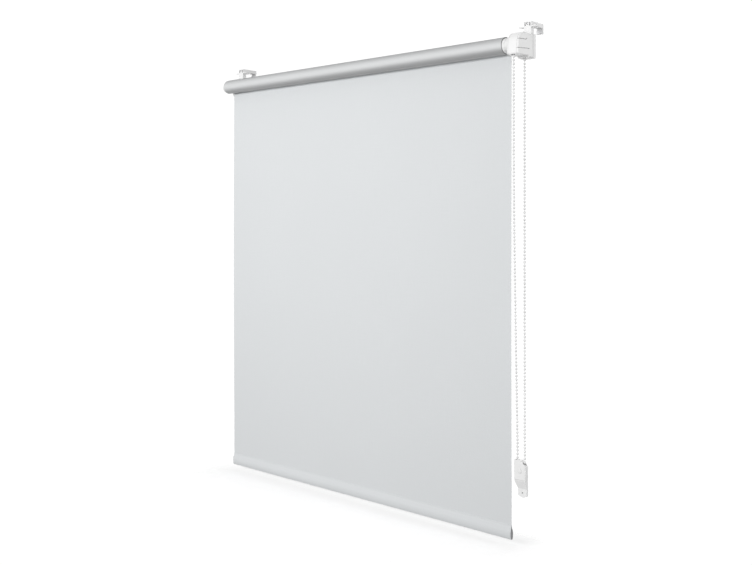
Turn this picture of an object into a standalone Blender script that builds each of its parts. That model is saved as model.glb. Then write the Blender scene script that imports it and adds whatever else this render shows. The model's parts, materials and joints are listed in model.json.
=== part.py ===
"""Clamp-on roller blind, with its cloth fully lowered.

The frame is metres with +Z up and +Y towards the window. The origin is on the
top front edge of the sash that the clamps grip, at the middle of the cloth's
width. The bead chain hangs at the +X end, and the room is at -Y.
"""

import math

import bmesh
import bpy
from mathutils import Vector

MM = 0.001

# Space kept between pieces that rest on each other
GAP = 0.3 * MM

# How far solids run into each other where they are joined, and how far a cutter
# runs past what it cuts
OVERLAP = 1.0 * MM
PAST = 5.0 * MM

# The roller's axis, seen from the origin
AXIS_Y = -32.5 * MM
AXIS_Z = -32.0 * MM

# The cloth and the tube that it winds on
CLOTH_WIDTH = 765.0 * MM
CLOTH = 0.4 * MM
BLIND_DROP = 841.0 * MM
TUBE_RADIUS = 12.5 * MM
TUBE_WALL = 1.1 * MM
KEY_WIDTH = 2.0 * MM
KEY_HEIGHT = 0.9 * MM
END_INSET = 0.5 * MM
WOUND_TURNS = 1.75
TURN_GAP = 0.45 * MM
ROUND_STEPS = 48

# The hem, a bar that is fullest at mid height, in a sewn pocket
HEM_HEIGHT = 25.0 * MM
HEM_SEAM = 2.0 * MM
STITCH_ROOM = 0.05 * MM
POCKET_PEAK = 1.2 * MM
POCKET_LEAVES_BAR = math.radians(18)
BAR_THICK = 4.6 * MM
BAR_HEIGHT = 17.5 * MM
BAR_TIP = 1.2 * MM
BAR_WALL = 0.8 * MM
HEM_CAP_FLANGE = 1.0 * MM
HEM_FLANGE_LIP = 0.2 * MM
HEM_TONGUE_LENGTH = 20.0 * MM
HEM_TONGUE_THICK = 1.6 * MM
HEM_TONGUE_HEIGHT = 10.0 * MM

# The ball chain and the wheel that it drives
BEAD_PITCH = 6.0 * MM
BEAD_DIAMETER = 4.5 * MM
WHEEL_POCKETS = 16
WHEEL_WIDTH = 8.0 * MM
WHEEL_RIM = 1.9 * MM
POCKET_DEPTH = 0.5 * MM
HUB_BORE = 7.8 * MM
HUB_RADIUS = 9.0 * MM
CHAIN_FROM_EDGE = 27.0 * MM

# The drive between the tube and the right bracket, as distances past the cloth's edge
FLANGE_THICK = 4.7 * MM
FLANGE_RADIUS = 13.2 * MM
FLANGE_CHAMFER = 0.5 * MM
COLLAR_RADIUS = 12.5 * MM
COLLAR_END = 22.5 * MM
COVER_START = 16.5 * MM
COVER_THICK = 1.8 * MM
HOUSING_START = 18.6 * MM
HOUSING_END = 36.0 * MM
SIDE_PLATE_START = 36.3 * MM
SIDE_PLATE_END = 38.8 * MM
PLUG_DEPTH = 55.0 * MM
CORE_RADIUS = 6.0 * MM
CORE_DEPTH = 46.0 * MM
CORE_FLANGE_RADIUS = 10.0 * MM
CORE_KEY_HALF = 4.0 * MM
CORE_SCREW_RADIUS = 1.6 * MM
CORE_SCREW_LENGTH = 13.0 * MM
SCREW_ROOM = 0.4 * MM
SMALL_HEAD = 1.6 * MM
SMALL_CHAMFER = 0.6 * MM
BRAKE_WIRE = 0.8 * MM
BRAKE_TURNS = 6
BRAKE_PITCH = 1.5 * MM
BRAKE_DEPTHS = (40.0 * MM, 24.0 * MM)
HOUSING_RADIUS = 19.4 * MM
HOUSING_WALL = 1.4 * MM
HOUSING_BACK = 20.4 * MM
HOUSING_TOP_BACK = 18.6 * MM
HOUSING_CORNER = 5.0 * MM
HOUSING_CORNER_AT = -15.0 * MM
SPOUT_START = 11.5 * MM
SPOUT_DEPTH = 2.5 * MM
SPOUT_SLOPE = 2.0 * MM
OUTLET_ROOM = 0.6 * MM
OUTLET_HALF = 3.2 * MM
COVER_BOSS = (16.6 * MM, 14.8 * MM)
COVER_BOSS_RADIUS = 2.9 * MM
COVER_SCREW_RADIUS = 1.15 * MM
COVER_SCREW_LENGTH = 11.0 * MM

# The brackets between the drive or the idle end and the clamps
PLATE = 2.5 * MM
BRACKET_TOP = 17.5 * MM
BRACKET_BOTTOM = 22.0 * MM
PLATE_RIM = 1.6 * MM
ARM_RADIUS = 11.0 * MM
ARM_FROM_EDGE = 5.5 * MM
ARM_FLARE = 6.0 * MM
FLANGE_FRONT_Y = -11.8 * MM
RIGHT_FLANGE_INNER = 14.0 * MM
LEFT_FLANGE_INNER = 24.0 * MM
SCREW_FROM_END = 10.0 * MM
FIXING_HOLE_RADIUS = 1.8 * MM
FIXING_SHANK_RADIUS = 1.4 * MM
FIXING_HEAD_RADIUS = 3.0 * MM
FIXING_HEAD_THICK = 1.8 * MM
TONGUE_SLOT = 1.0 * MM
TONGUE_TOP = 7.0 * MM
TONGUE_BOTTOM = -8.0 * MM
TONGUE_FRONT = -24.0 * MM
TONGUE_DROP = 1.4 * MM
TONGUE_CURVE_START = -10.0 * MM
TONGUE_CURVE_RADIUS = 9.0 * MM
TONGUE_BACK = 13.0 * MM

# A clamp, from its own centre line
RIGHT_CLAMP_FROM_EDGE = 27.0 * MM
LEFT_CLAMP_FROM_EDGE = -13.0 * MM
SASH_THICK = 25.0 * MM
POST_WIDTH = 15.0 * MM
POST_FRONT_Y = -9.0 * MM
PAD = 1.0 * MM
PAD_HALF = 10.0 * MM
PAD_TOP = -4.0 * MM
PAD_FROM_FOOT = 3.0 * MM
JAW_PAD = 1.2 * MM
JAW_PAD_TOP = -1.0 * MM
BLOCK_TOP = -13.5 * MM
BLOCK_BOTTOM = -54.0 * MM
BLOCK_INNER = 11.0 * MM
BLOCK_OUTER = 11.8 * MM
WING_REACH = 17.0 * MM
WING_BACK = 3.0 * MM
HOOK_THICK = 1.8 * MM
CHANNEL_HALF = 7.5 * MM
CHANNEL_WALL = 1.4 * MM
CHANNEL_TOP = 9.4 * MM
CHANNEL_BACK = 11.0 * MM
CLAMP_SCREW_Z = 6.0 * MM
CLAMP_SCREW_RADIUS = 2.0 * MM
CLAMP_HEAD_RADIUS = 4.6 * MM
CLAMP_HEAD_THICK = 3.2 * MM
CLAMP_SCREW_TIP = -8.2 * MM
CLAMP_SLOT_HALF = 0.5 * MM
CLAMP_SLOT_DEPTH = 1.0 * MM
FRONT_BOSS_BACK = -7.7 * MM
BOSS_FRONT = -4.3 * MM
BOSS_BACK = -0.8 * MM
BOSS_HALF = 3.6 * MM
BOSS_TOP = 9.0 * MM
NUT_HALF = 3.2 * MM
NUT_FRONT = -7.4 * MM
NUT_BACK = -4.6 * MM
JAW_HALF = 6.0 * MM
JAW_THICK = 3.0 * MM
JAW_BOTTOM = -8.0 * MM
RAIL_INNER = 4.2 * MM
RAIL_FRONT = 0.5 * MM

# The spring-loaded pin at the left end
PIN_RADIUS = 3.0 * MM
PIN_TIP_PAST_ARM = 1.0 * MM
PIN_LENGTH = 39.5 * MM
PIN_ROOM = 0.4 * MM
PIN_COLLAR_START = 4.5 * MM
PIN_COLLAR = 2.0 * MM
IDLE_PLUG_DEPTH = 40.0 * MM
IDLE_FLANGE = 2.4 * MM
CHAMBER_RADIUS = 5.2 * MM
CHAMBER_START = 4.0 * MM
CHAMBER_END = 2.0 * MM
IDLE_WIRE = 0.8 * MM
IDLE_TURNS = 8

# The tensioner at the foot of the chain loop. Its sizes are for its own position,
# before the quarter turn that it hangs with: front and half are along Y there.
TENSIONER_TOP = -730.5 * MM
TENSIONER_Y = -27.1 * MM
TENSIONER_THICK = 8.4 * MM
TENSIONER_WALL = 1.2 * MM
TENSIONER_HALF = 11.4 * MM
TENSIONER_BODY = 33.0 * MM
TENSIONER_LENGTH = 63.0 * MM
TENSIONER_TAPER_START = 34.5 * MM
TENSIONER_TAPER_END = 48.0 * MM
TOP_SLOPE_START = 2.0 * MM
TOP_SLOPE_DEPTH = 9.0 * MM
TAIL_FRONT = -6.0 * MM
TAIL_POINT = 3.5 * MM
TAIL_CORNERS = (4.0 * MM, 3.0 * MM)
TAIL_FACE = 0.6 * MM
TAIL_HOLE = (3.0 * MM, -55.0 * MM)
TAIL_HOLE_RADIUS = 1.7 * MM
CAVITY_ROOM = 0.5 * MM
AXLE_RADIUS = 2.0 * MM
AXLE_BORE = 2.35 * MM
PULLEY_BORE = 2.4 * MM
PULLEY_RIM = 1.4 * MM
PULLEY_CHEEK = 0.4 * MM
PULLEY_SLOPE = 0.5 * MM
RIVET_RADIUS = 3.4 * MM
RIVET_CHAMFER = 0.8 * MM
RIVET_STEP = 0.6 * MM
RIVET_THICK = 1.0 * MM
PULLEY_PITCH_RADIUS = 7.5 * MM
PULLEY_DROP = 18.0 * MM

# Values that follow from the ones above
EDGE = CLOTH_WIDTH / 2
TURN_PITCH = CLOTH + TURN_GAP
ROLL_INNER = TUBE_RADIUS + GAP + 0.05 * MM
ROLL_RADIUS = ROLL_INNER + CLOTH + TURN_PITCH * WOUND_TURNS
SHEET_Y = AXIS_Y + ROLL_RADIUS + GAP + CLOTH / 2
HEM_BOTTOM = AXIS_Z - BLIND_DROP
HEM_TOP = HEM_BOTTOM + HEM_HEIGHT
CHAIN_X = EDGE + CHAIN_FROM_EDGE
WHEEL_PITCH_RADIUS = BEAD_PITCH / (2 * math.sin(math.pi / WHEEL_POCKETS))
PLUG_RADIUS = TUBE_RADIUS - TUBE_WALL - GAP
BEAD_ROOM = BEAD_DIAMETER / 2 + 0.45 * MM
PULLEY_Z = TENSIONER_TOP - PULLEY_DROP
BRACKET_TOP_Z = AXIS_Z + BRACKET_TOP
BRACKET_BOTTOM_Z = AXIS_Z - BRACKET_BOTTOM

# Routes of the two free chain strands in millimetres, from the housing to the
# tensioner, as (x from the wheel's plane, y, z). They hang straight, then draw in to
# the narrower tensioner, which hangs a quarter turn round from the wheel.
FRONT_STRAND_ROUTE = [
    (0, -47.88, -51.7),
    (0, -47.88, -70),
    (0, -47.88, -110),
    (-0.01, -47.84, -160),
    (-0.13, -47.53, -220),
    (-0.54, -46.38, -290),
    (-1.38, -44.06, -360),
    (-2.49, -40.98, -430),
    (-3.67, -37.7, -500),
    (-4.93, -34.23, -570),
    (-6.18, -30.76, -630),
    (-7.08, -28.26, -680),
    (-7.5, -27.1, -710),
    (-7.5, -27.1, -730.2),
]
REAR_STRAND_ROUTE = [
    (0, -17.12, -54.2),
    (0, -17.12, -75),
    (0, -17.12, -115),
    (0.02, -17.15, -170),
    (0.15, -17.32, -240),
    (0.53, -17.82, -310),
    (1.28, -18.83, -380),
    (2.41, -20.33, -450),
    (3.73, -22.08, -520),
    (5.24, -24.09, -590),
    (6.37, -25.6, -650),
    (7.31, -26.85, -690),
    (7.5, -27.1, -712),
    (7.5, -27.1, -730.2),
]
STRAND_POINTS = 40


# Scene and materials


def clear_scene():
    for obj in list(bpy.data.objects):
        bpy.data.objects.remove(obj, do_unlink=True)


def material(name, colour, roughness, metallic=0.0):
    made = bpy.data.materials.new(name)
    made.use_nodes = True
    shader = made.node_tree.nodes["Principled BSDF"]
    shader.inputs["Base Color"].default_value = (*colour, 1.0)
    shader.inputs["Roughness"].default_value = roughness
    shader.inputs["Metallic"].default_value = metallic
    made.diffuse_color = (*colour, 1.0)
    return made


def make_materials():
    return {
        "cloth": material("cloth", (0.76, 0.77, 0.78), 0.85),
        "silver_cloth": material("silver_cloth", (0.55, 0.56, 0.57), 0.38, 0.8),
        "white_plastic": material("white_plastic", (0.86, 0.86, 0.86), 0.4),
        "grey_plastic": material("grey_plastic", (0.2, 0.2, 0.2), 0.5),
        "chain": material("chain", (0.85, 0.85, 0.86), 0.3),
        "rubber": material("rubber", (0.75, 0.75, 0.76), 0.8),
        "aluminium": material("aluminium", (0.7, 0.71, 0.72), 0.35, 1.0),
        "steel": material("steel", (0.6, 0.6, 0.61), 0.3, 1.0),
    }


# Outlines, as lists of points in a plane


def arc(centre, radius, start, end, steps):
    """Points on an arc, angles in degrees, both ends included."""
    angles = [math.radians(start + (end - start) * i / steps) for i in range(steps + 1)]
    return [
        (centre[0] + radius * math.cos(a), centre[1] + radius * math.sin(a))
        for a in angles
    ]


def circle(radius, steps=ROUND_STEPS, centre=(0.0, 0.0)):
    return arc(centre, radius, 0, 360, steps)[:-1]


def rectangle(left, right, low, high):
    return [(left, low), (right, low), (right, high), (left, high)]


def capsule(thick, height, bottom, steps=6):
    """An upright bar's section with round ends, thick along the first axis."""
    radius = thick / 2
    lower = arc((0, bottom + radius), radius, 180, 360, steps)
    upper = arc((0, bottom + height - radius), radius, 0, 180, steps)
    return lower + upper


def full_side(thick, height, bottom, tip, steps=8):
    """The right side of an upright bar's section that is fullest at mid height."""
    low = bottom + tip
    high = bottom + height - tip
    points = []
    for i in range(steps + 1):
        share = i / steps
        fullness = 1 - (2 * share - 1) ** 2
        out = tip + (thick / 2 - tip) * fullness
        points.append((out, low + (high - low) * share))
    return points


def leaf(thick, height, bottom, tip):
    """An upright bar's section with round ends, fullest between them."""
    right = full_side(thick, height, bottom, tip)
    left = [(-y, z) for y, z in right[::-1]]
    lower = arc((0, bottom + tip), tip, 180, 360, 6)[1:-1]
    upper = arc((0, bottom + height - tip), tip, 0, 180, 6)[1:-1]
    return lower + right + upper + left


def keyed_circle(radius, width, height):
    """A circle with a rectangular key pointing inwards from its top."""
    half = width / 2
    edge = math.degrees(math.asin(half / radius))
    around = arc((0, 0), radius, 90 + edge, 450 - edge, ROUND_STEPS)
    return around + [(half, radius - height), (-half, radius - height)]


def band(points, width):
    """The outline of a slot of one width that follows the points."""
    left, right = [], []
    for i, point in enumerate(points):
        before = Vector(points[max(i - 1, 0)])
        after = Vector(points[min(i + 1, len(points) - 1)])
        along = (after - before).normalized()
        across = Vector((-along.y, along.x)) * width / 2
        left.append(tuple(Vector(point) + across))
        right.append(tuple(Vector(point) - across))
    return left + right[::-1]


# Meshes


def place_point(axis, level, point):
    """A point of a plane square to the axis, in space."""
    a, b = point
    if axis == "X":
        return (level, a, b)
    if axis == "Y":
        return (a, level, b)
    return (a, b, level)


def finished(bm):
    """Turn the working mesh into mesh data."""
    bmesh.ops.recalc_face_normals(bm, faces=bm.faces)
    bmesh.ops.triangulate(bm, faces=[f for f in bm.faces if len(f.verts) > 4])
    mesh = bpy.data.meshes.new("mesh")
    bm.to_mesh(mesh)
    bm.free()
    return mesh


def prism(loops, axis, low, high):
    """Closed outlines pushed along an axis. Outlines after the first are holes."""
    bm = bmesh.new()
    rims = {}
    for level in (low, high):
        edges = []
        for i, loop in enumerate(loops):
            verts = [bm.verts.new(place_point(axis, level, p)) for p in loop]
            edges += [bm.edges.new((verts[k - 1], verts[k])) for k in range(len(verts))]
            rims[level, i] = verts
        bmesh.ops.triangle_fill(bm, use_beauty=True, edges=edges)
    for i, loop in enumerate(loops):
        near, far = rims[low, i], rims[high, i]
        for k in range(len(loop)):
            bm.faces.new((near[k - 1], near[k], far[k], far[k - 1]))
    return finished(bm)


def stacked(sections, axis):
    """A closed solid through outlines of as many points, each at its own level."""
    bm = bmesh.new()
    rims = []
    for level, loop in sections:
        rims.append([bm.verts.new(place_point(axis, level, p)) for p in loop])
    for rim in (rims[0], rims[-1]):
        edges = [bm.edges.new((rim[k - 1], rim[k])) for k in range(len(rim))]
        bmesh.ops.triangle_fill(bm, use_beauty=True, edges=edges)
    for near, far in zip(rims, rims[1:]):
        for k in range(len(near)):
            bm.faces.new((near[k - 1], near[k], far[k], far[k - 1]))
    return finished(bm)


def box(low, high):
    return prism([rectangle(low[1], high[1], low[2], high[2])], "X", low[0], high[0])


def turned(profile, steps=ROUND_STEPS, ring=False, dent=None):
    """A profile of (x, radius) points turned about the X axis.

    A ring's profile closes on itself round its bore, and any other starts and
    ends at radius 0. dent gives the depth to take off a point at an angle.
    """
    bm = bmesh.new()
    rows = []
    for index, (x, radius) in enumerate(profile):
        row = []
        for k in range(steps if radius > 0 else 1):
            angle = math.tau * k / steps
            here = radius - (dent(index, angle) if dent else 0.0)
            row.append(
                bm.verts.new((x, here * math.cos(angle), here * math.sin(angle)))
            )
        rows.append(row)
    pairs = list(zip(rows, rows[1:]))
    if ring:
        pairs.append((rows[-1], rows[0]))
    for one, two in pairs:
        for k in range(steps):
            a = one[k % len(one)]
            b = one[(k + 1) % len(one)]
            c = two[(k + 1) % len(two)]
            d = two[k % len(two)]
            corners = list(dict.fromkeys((a, b, c, d)))
            if len(corners) > 2:
                bm.faces.new(corners)
    return finished(bm)


# Objects


def empty(name, location, parent=None):
    obj = bpy.data.objects.new(name, None)
    obj.empty_display_size = 0.02
    obj.location = location
    obj.parent = parent
    bpy.context.scene.collection.objects.link(obj)
    return obj


def piece(name, mesh, look, parent=None, location=(0, 0, 0)):
    mesh.name = name
    obj = bpy.data.objects.new(name, mesh)
    obj.location = location
    obj.parent = parent
    obj.data.materials.clear()
    obj.data.materials.append(look)
    mesh.shade_smooth()
    mesh.set_sharp_from_angle(angle=math.radians(30))
    bpy.context.scene.collection.objects.link(obj)
    return obj


def cutter(mesh, parent=None, location=(0, 0, 0)):
    obj = bpy.data.objects.new("cutter", mesh)
    obj.location = location
    obj.parent = parent
    obj.hide_render = True
    obj.display_type = "WIRE"
    bpy.context.scene.collection.objects.link(obj)
    return obj


def combine(obj, tools, operation):
    """Join the tools to the object, or cut them out of it, and keep the result."""
    for tool in tools:
        modifier = obj.modifiers.new(operation.lower(), "BOOLEAN")
        modifier.operation = operation
        modifier.solver = "EXACT"
        modifier.object = tool
    bpy.context.view_layer.update()
    graph = bpy.context.evaluated_depsgraph_get()
    mesh = bpy.data.meshes.new_from_object(obj.evaluated_get(graph))
    look = obj.data.materials[0]
    obj.modifiers.clear()
    obj.data = mesh
    mesh.name = obj.name
    mesh.materials.clear()
    mesh.materials.append(look)
    mesh.shade_smooth()
    mesh.set_sharp_from_angle(angle=math.radians(30))
    for tool in tools:
        bpy.data.objects.remove(tool, do_unlink=True)


def tube(name, points, radius, look, parent=None, resolution=2):
    """A round tube along the points, closed at both ends."""
    curve = bpy.data.curves.new(name, "CURVE")
    curve.dimensions = "3D"
    curve.bevel_depth = radius
    curve.bevel_resolution = resolution
    curve.use_fill_caps = True
    curve.render_resolution_u = 0
    spline = curve.splines.new("POLY")
    spline.points.add(len(points) - 1)
    for target, point in zip(spline.points, points):
        target.co = (*point, 1.0)
    curve.materials.append(look)
    obj = bpy.data.objects.new(name, curve)
    obj.parent = parent
    bpy.context.scene.collection.objects.link(obj)
    return obj


def smooth_route(points, count):
    """Evenly spaced points on a smooth curve through the route's own points."""
    route = [Vector(p) for p in points]
    padded = [route[0] * 2 - route[1]] + route + [route[-1] * 2 - route[-2]]
    fine = []
    for a, b, c, d in zip(padded, padded[1:], padded[2:], padded[3:]):
        for i in range(20):
            t = i / 20
            fine.append(
                0.5
                * (
                    2 * b
                    + (c - a) * t
                    + (2 * a - 5 * b + 4 * c - d) * t**2
                    + (3 * b - a - 3 * c + d) * t**3
                )
            )
    fine.append(route[-1])
    along = [0.0]
    for a, b in zip(fine, fine[1:]):
        along.append(along[-1] + (b - a).length)
    spaced = []
    place = 0
    for i in range(count):
        target = along[-1] * i / (count - 1)
        while place < len(along) - 2 and along[place + 1] < target:
            place += 1
        share = (target - along[place]) / (along[place + 1] - along[place])
        spaced.append(fine[place].lerp(fine[place + 1], share))
    return spaced


def coil(start, pitch, turns, radius, points_per_turn=10):
    """Points along a coil about the X axis."""
    count = turns * points_per_turn
    return [
        (
            start + pitch * i / points_per_turn,
            radius * math.cos(math.tau * i / points_per_turn),
            radius * math.sin(math.tau * i / points_per_turn),
        )
        for i in range(count + 1)
    ]


# The roller: a keyed tube, the cloth wound on it and the plugs in its ends


def build_tube(looks, roller):
    outer = circle(TUBE_RADIUS)
    inner = keyed_circle(TUBE_RADIUS - TUBE_WALL, KEY_WIDTH, KEY_HEIGHT)
    half = EDGE - END_INSET
    mesh = prism([outer, inner], "X", -half, half)
    piece("roller_tube", mesh, looks["aluminium"], roller)


def build_wound_cloth(looks, roller):
    """The cloth that stays on the tube, as one spiral strip.

    The strip's outer end is where the hanging cloth leaves, at the back.
    """
    steps = round(WOUND_TURNS * ROUND_STEPS)
    outer, inner = [], []
    for i in range(steps + 1):
        angle = math.tau * i / ROUND_STEPS
        radius = ROLL_RADIUS - TURN_PITCH * i / ROUND_STEPS
        way = Vector((math.cos(angle), math.sin(angle)))
        outer.append(tuple(way * radius))
        inner.append(tuple(way * (radius - CLOTH)))
    mesh = prism([outer + inner[::-1]], "X", -EDGE, EDGE)
    piece("wound_cloth", mesh, looks["silver_cloth"], roller)
    gaps = [
        (Vector(inner[i]) - Vector(outer[i + ROUND_STEPS])).length
        for i in range(steps + 1 - ROUND_STEPS)
    ]
    print(f"least gap between turns of the cloth: {min(gaps) / MM:.2f} mm")


def plug_section():
    return keyed_circle(PLUG_RADIUS, KEY_WIDTH + 2 * GAP, KEY_HEIGHT + GAP)


def build_drive_plug(looks, roller):
    flange_start = EDGE + GAP
    flange_end = flange_start + FLANGE_THICK
    plug = piece(
        "drive_plug",
        prism([plug_section()], "X", EDGE - PLUG_DEPTH, EDGE + OVERLAP),
        looks["white_plastic"],
        roller,
    )
    collar = turned(
        [
            (flange_start, 0),
            (flange_start, FLANGE_RADIUS),
            (flange_end - FLANGE_CHAMFER, FLANGE_RADIUS),
            (flange_end, FLANGE_RADIUS - FLANGE_CHAMFER),
            (flange_end, COLLAR_RADIUS),
            (EDGE + COLLAR_END, COLLAR_RADIUS),
            (EDGE + COLLAR_END, 0),
        ]
    )
    ends = (EDGE - PLUG_DEPTH - PAST, EDGE + COLLAR_END + PAST)
    bore = prism([circle(HUB_RADIUS + GAP)], "X", *ends)
    combine(plug, [cutter(collar, roller)], "UNION")
    combine(plug, [cutter(bore, roller)], "DIFFERENCE")


def build_chain_wheel(looks, roller):
    """The wheel that the beads sit in, with the sleeve that turns the plug.

    The groove keeps clear of the standing beads at every angle, and its floor
    dips once for each bead.
    """
    low = CHAIN_X - WHEEL_WIDTH / 2
    high = CHAIN_X + WHEEL_WIDTH / 2
    rim = WHEEL_PITCH_RADIUS + WHEEL_RIM
    half = BEAD_ROOM
    floor = [
        (CHAIN_X + half * math.cos(a), WHEEL_PITCH_RADIUS + half * math.sin(a))
        for a in (math.radians(180 + 30 * i) for i in range(7))
    ]
    sleeve_start = EDGE - CORE_DEPTH + END_INSET
    profile = [
        (sleeve_start, HUB_BORE),
        (sleeve_start, HUB_RADIUS),
        (low, HUB_RADIUS),
        (low, rim),
        (CHAIN_X - half, rim),
        *floor,
        (CHAIN_X + half, rim),
        (high, rim),
        (high, HUB_BORE),
    ]
    first_floor = 5
    dip = {first_floor + 2 + i: share for i, share in enumerate((0.7, 1.0, 0.7))}

    def pocket(index, angle):
        wave = 0.5 + 0.5 * math.cos(WHEEL_POCKETS * (angle - math.pi / 2))
        return POCKET_DEPTH * dip.get(index, 0.0) * wave

    mesh = turned(profile, steps=WHEEL_POCKETS * 4, ring=True, dent=pocket)
    piece("chain_wheel", mesh, looks["white_plastic"], roller)


def build_idle_plug(looks, roller):
    flange_end = -EDGE - GAP
    chamber_start = -EDGE + CHAMBER_START
    chamber_end = -EDGE + IDLE_PLUG_DEPTH - CHAMBER_END
    plug = piece(
        "idle_plug",
        prism([plug_section()], "X", -EDGE - OVERLAP, -EDGE + IDLE_PLUG_DEPTH),
        looks["white_plastic"],
        roller,
    )
    flange = turned(
        [
            (flange_end, 0),
            (flange_end, FLANGE_RADIUS),
            (flange_end - IDLE_FLANGE + FLANGE_CHAMFER, FLANGE_RADIUS),
            (flange_end - IDLE_FLANGE, FLANGE_RADIUS - FLANGE_CHAMFER),
            (flange_end - IDLE_FLANGE, 0),
        ]
    )
    chamber = turned(
        [
            (-EDGE - PAST, 0),
            (-EDGE - PAST, PIN_RADIUS + PIN_ROOM),
            (chamber_start, PIN_RADIUS + PIN_ROOM),
            (chamber_start, CHAMBER_RADIUS),
            (chamber_end, CHAMBER_RADIUS),
            (chamber_end, 0),
        ],
        steps=32,
    )
    combine(plug, [cutter(flange, roller)], "UNION")
    combine(plug, [cutter(chamber, roller)], "DIFFERENCE")


def build_idle_pin(looks, pin_axis):
    """The pin that holds up the left end, and the spring that pushes it out."""
    tip = -EDGE - ARM_FROM_EDGE - PLATE - PIN_TIP_PAST_ARM
    tail = tip + PIN_LENGTH
    collar = -EDGE + PIN_COLLAR_START
    chamfer = PIN_RADIUS / 5
    mesh = turned(
        [
            (tip, 0),
            (tip, PIN_RADIUS - chamfer),
            (tip + chamfer, PIN_RADIUS),
            (collar, PIN_RADIUS),
            (collar, CHAMBER_RADIUS - PIN_ROOM),
            (collar + PIN_COLLAR, CHAMBER_RADIUS - PIN_ROOM),
            (collar + PIN_COLLAR, PIN_RADIUS),
            (tail, PIN_RADIUS),
            (tail, 0),
        ],
        steps=24,
    )
    piece("idle_pin", mesh, looks["steel"], pin_axis)
    start = collar + PIN_COLLAR + IDLE_WIRE / 2 + GAP
    end = -EDGE + IDLE_PLUG_DEPTH - CHAMBER_END - IDLE_WIRE / 2 - GAP
    radius = (PIN_RADIUS + CHAMBER_RADIUS) / 2
    pitch = (end - start) / IDLE_TURNS
    points = coil(start, pitch, IDLE_TURNS, radius)
    tube("idle_spring", points, IDLE_WIRE / 2, looks["steel"], pin_axis, 1)
    print(f"least gap between coils of the idle spring: {(pitch - IDLE_WIRE) / MM:.2f} mm")


# The drive: a fixed core with its brake springs, in a housing with a cover


def build_core(looks, drive):
    inner = EDGE - CORE_DEPTH
    chamfer = END_INSET
    flange = EDGE + CHAIN_FROM_EDGE + WHEEL_WIDTH / 2 + END_INSET
    wall = EDGE + HOUSING_END - HOUSING_WALL - GAP
    core = piece(
        "drive_core",
        turned(
            [
                (inner, 0),
                (inner, CORE_RADIUS - chamfer),
                (inner + chamfer, CORE_RADIUS),
                (flange, CORE_RADIUS),
                (flange, CORE_FLANGE_RADIUS),
                (wall, CORE_FLANGE_RADIUS),
                (wall, 0),
            ],
            steps=32,
        ),
        looks["white_plastic"],
        drive,
    )
    half = CORE_KEY_HALF
    key = box((wall - OVERLAP, -half, -half), (EDGE + HOUSING_END, half, half))
    combine(core, [cutter(key, drive)], "UNION")
    bore_radius = CORE_SCREW_RADIUS + SCREW_ROOM
    bore_end = inner + CORE_SCREW_LENGTH + 5 * SCREW_ROOM
    bore = turned(
        [
            (inner - PAST, 0),
            (inner - PAST, bore_radius),
            (bore_end, bore_radius),
            (bore_end, 0),
        ],
        steps=16,
    )
    combine(core, [cutter(bore, drive)], "DIFFERENCE")


def small_screw(under_head, head_radius, shank_radius, length, steps):
    """A screw along X with a chamfered head, its shank pointing to +X."""
    top = under_head - SMALL_HEAD
    return turned(
        [
            (top, 0),
            (top, head_radius - SMALL_CHAMFER),
            (top + SMALL_CHAMFER, head_radius),
            (under_head, head_radius),
            (under_head, shank_radius),
            (under_head + length, shank_radius),
            (under_head + length, 0),
        ],
        steps=steps,
    )


def build_retaining_screw(looks, drive):
    under_head = EDGE - CORE_DEPTH - GAP
    mesh = small_screw(
        under_head, HUB_RADIUS - 2 * GAP, CORE_SCREW_RADIUS, CORE_SCREW_LENGTH, 24
    )
    piece("retaining_screw", mesh, looks["steel"], drive)


def build_brake_springs(looks, roller):
    """Two wound springs that grip the core until the chain turns them."""
    radius = (CORE_RADIUS + HUB_BORE) / 2
    for name, start in (
        ("brake_spring_inner", EDGE - BRAKE_DEPTHS[0]),
        ("brake_spring_outer", EDGE - BRAKE_DEPTHS[1]),
    ):
        points = coil(start, BRAKE_PITCH, BRAKE_TURNS, radius)
        tube(name, points, BRAKE_WIRE / 2, looks["steel"], roller, 1)
    gap = (BRAKE_PITCH - BRAKE_WIRE) / MM
    print(f"least gap between coils of the brake springs: {gap:.2f} mm")


def housing_outline(inset):
    """The drive housing seen from its end, about the roller's axis.

    The nose is round, the back is flat, and a spout behind lets the chain out.
    """
    radius = HOUSING_RADIUS - inset
    back = HOUSING_BACK - inset
    spout = [
        (SPOUT_START + inset, -HOUSING_RADIUS - SPOUT_DEPTH + inset),
        (SPOUT_START - SPOUT_SLOPE + inset, -HOUSING_RADIUS + inset),
    ]
    return (
        arc((0, 0), radius, 180, 90, 16)
        + [
            (back, HOUSING_TOP_BACK - inset),
            (back, -HOUSING_RADIUS - SPOUT_DEPTH + inset),
        ]
        + spout
        + housing_corner(inset)
    )


def housing_corner(inset):
    centre = (HOUSING_CORNER_AT, HOUSING_CORNER_AT)
    return arc(centre, HOUSING_CORNER - inset, 270, 180, 5)


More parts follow.
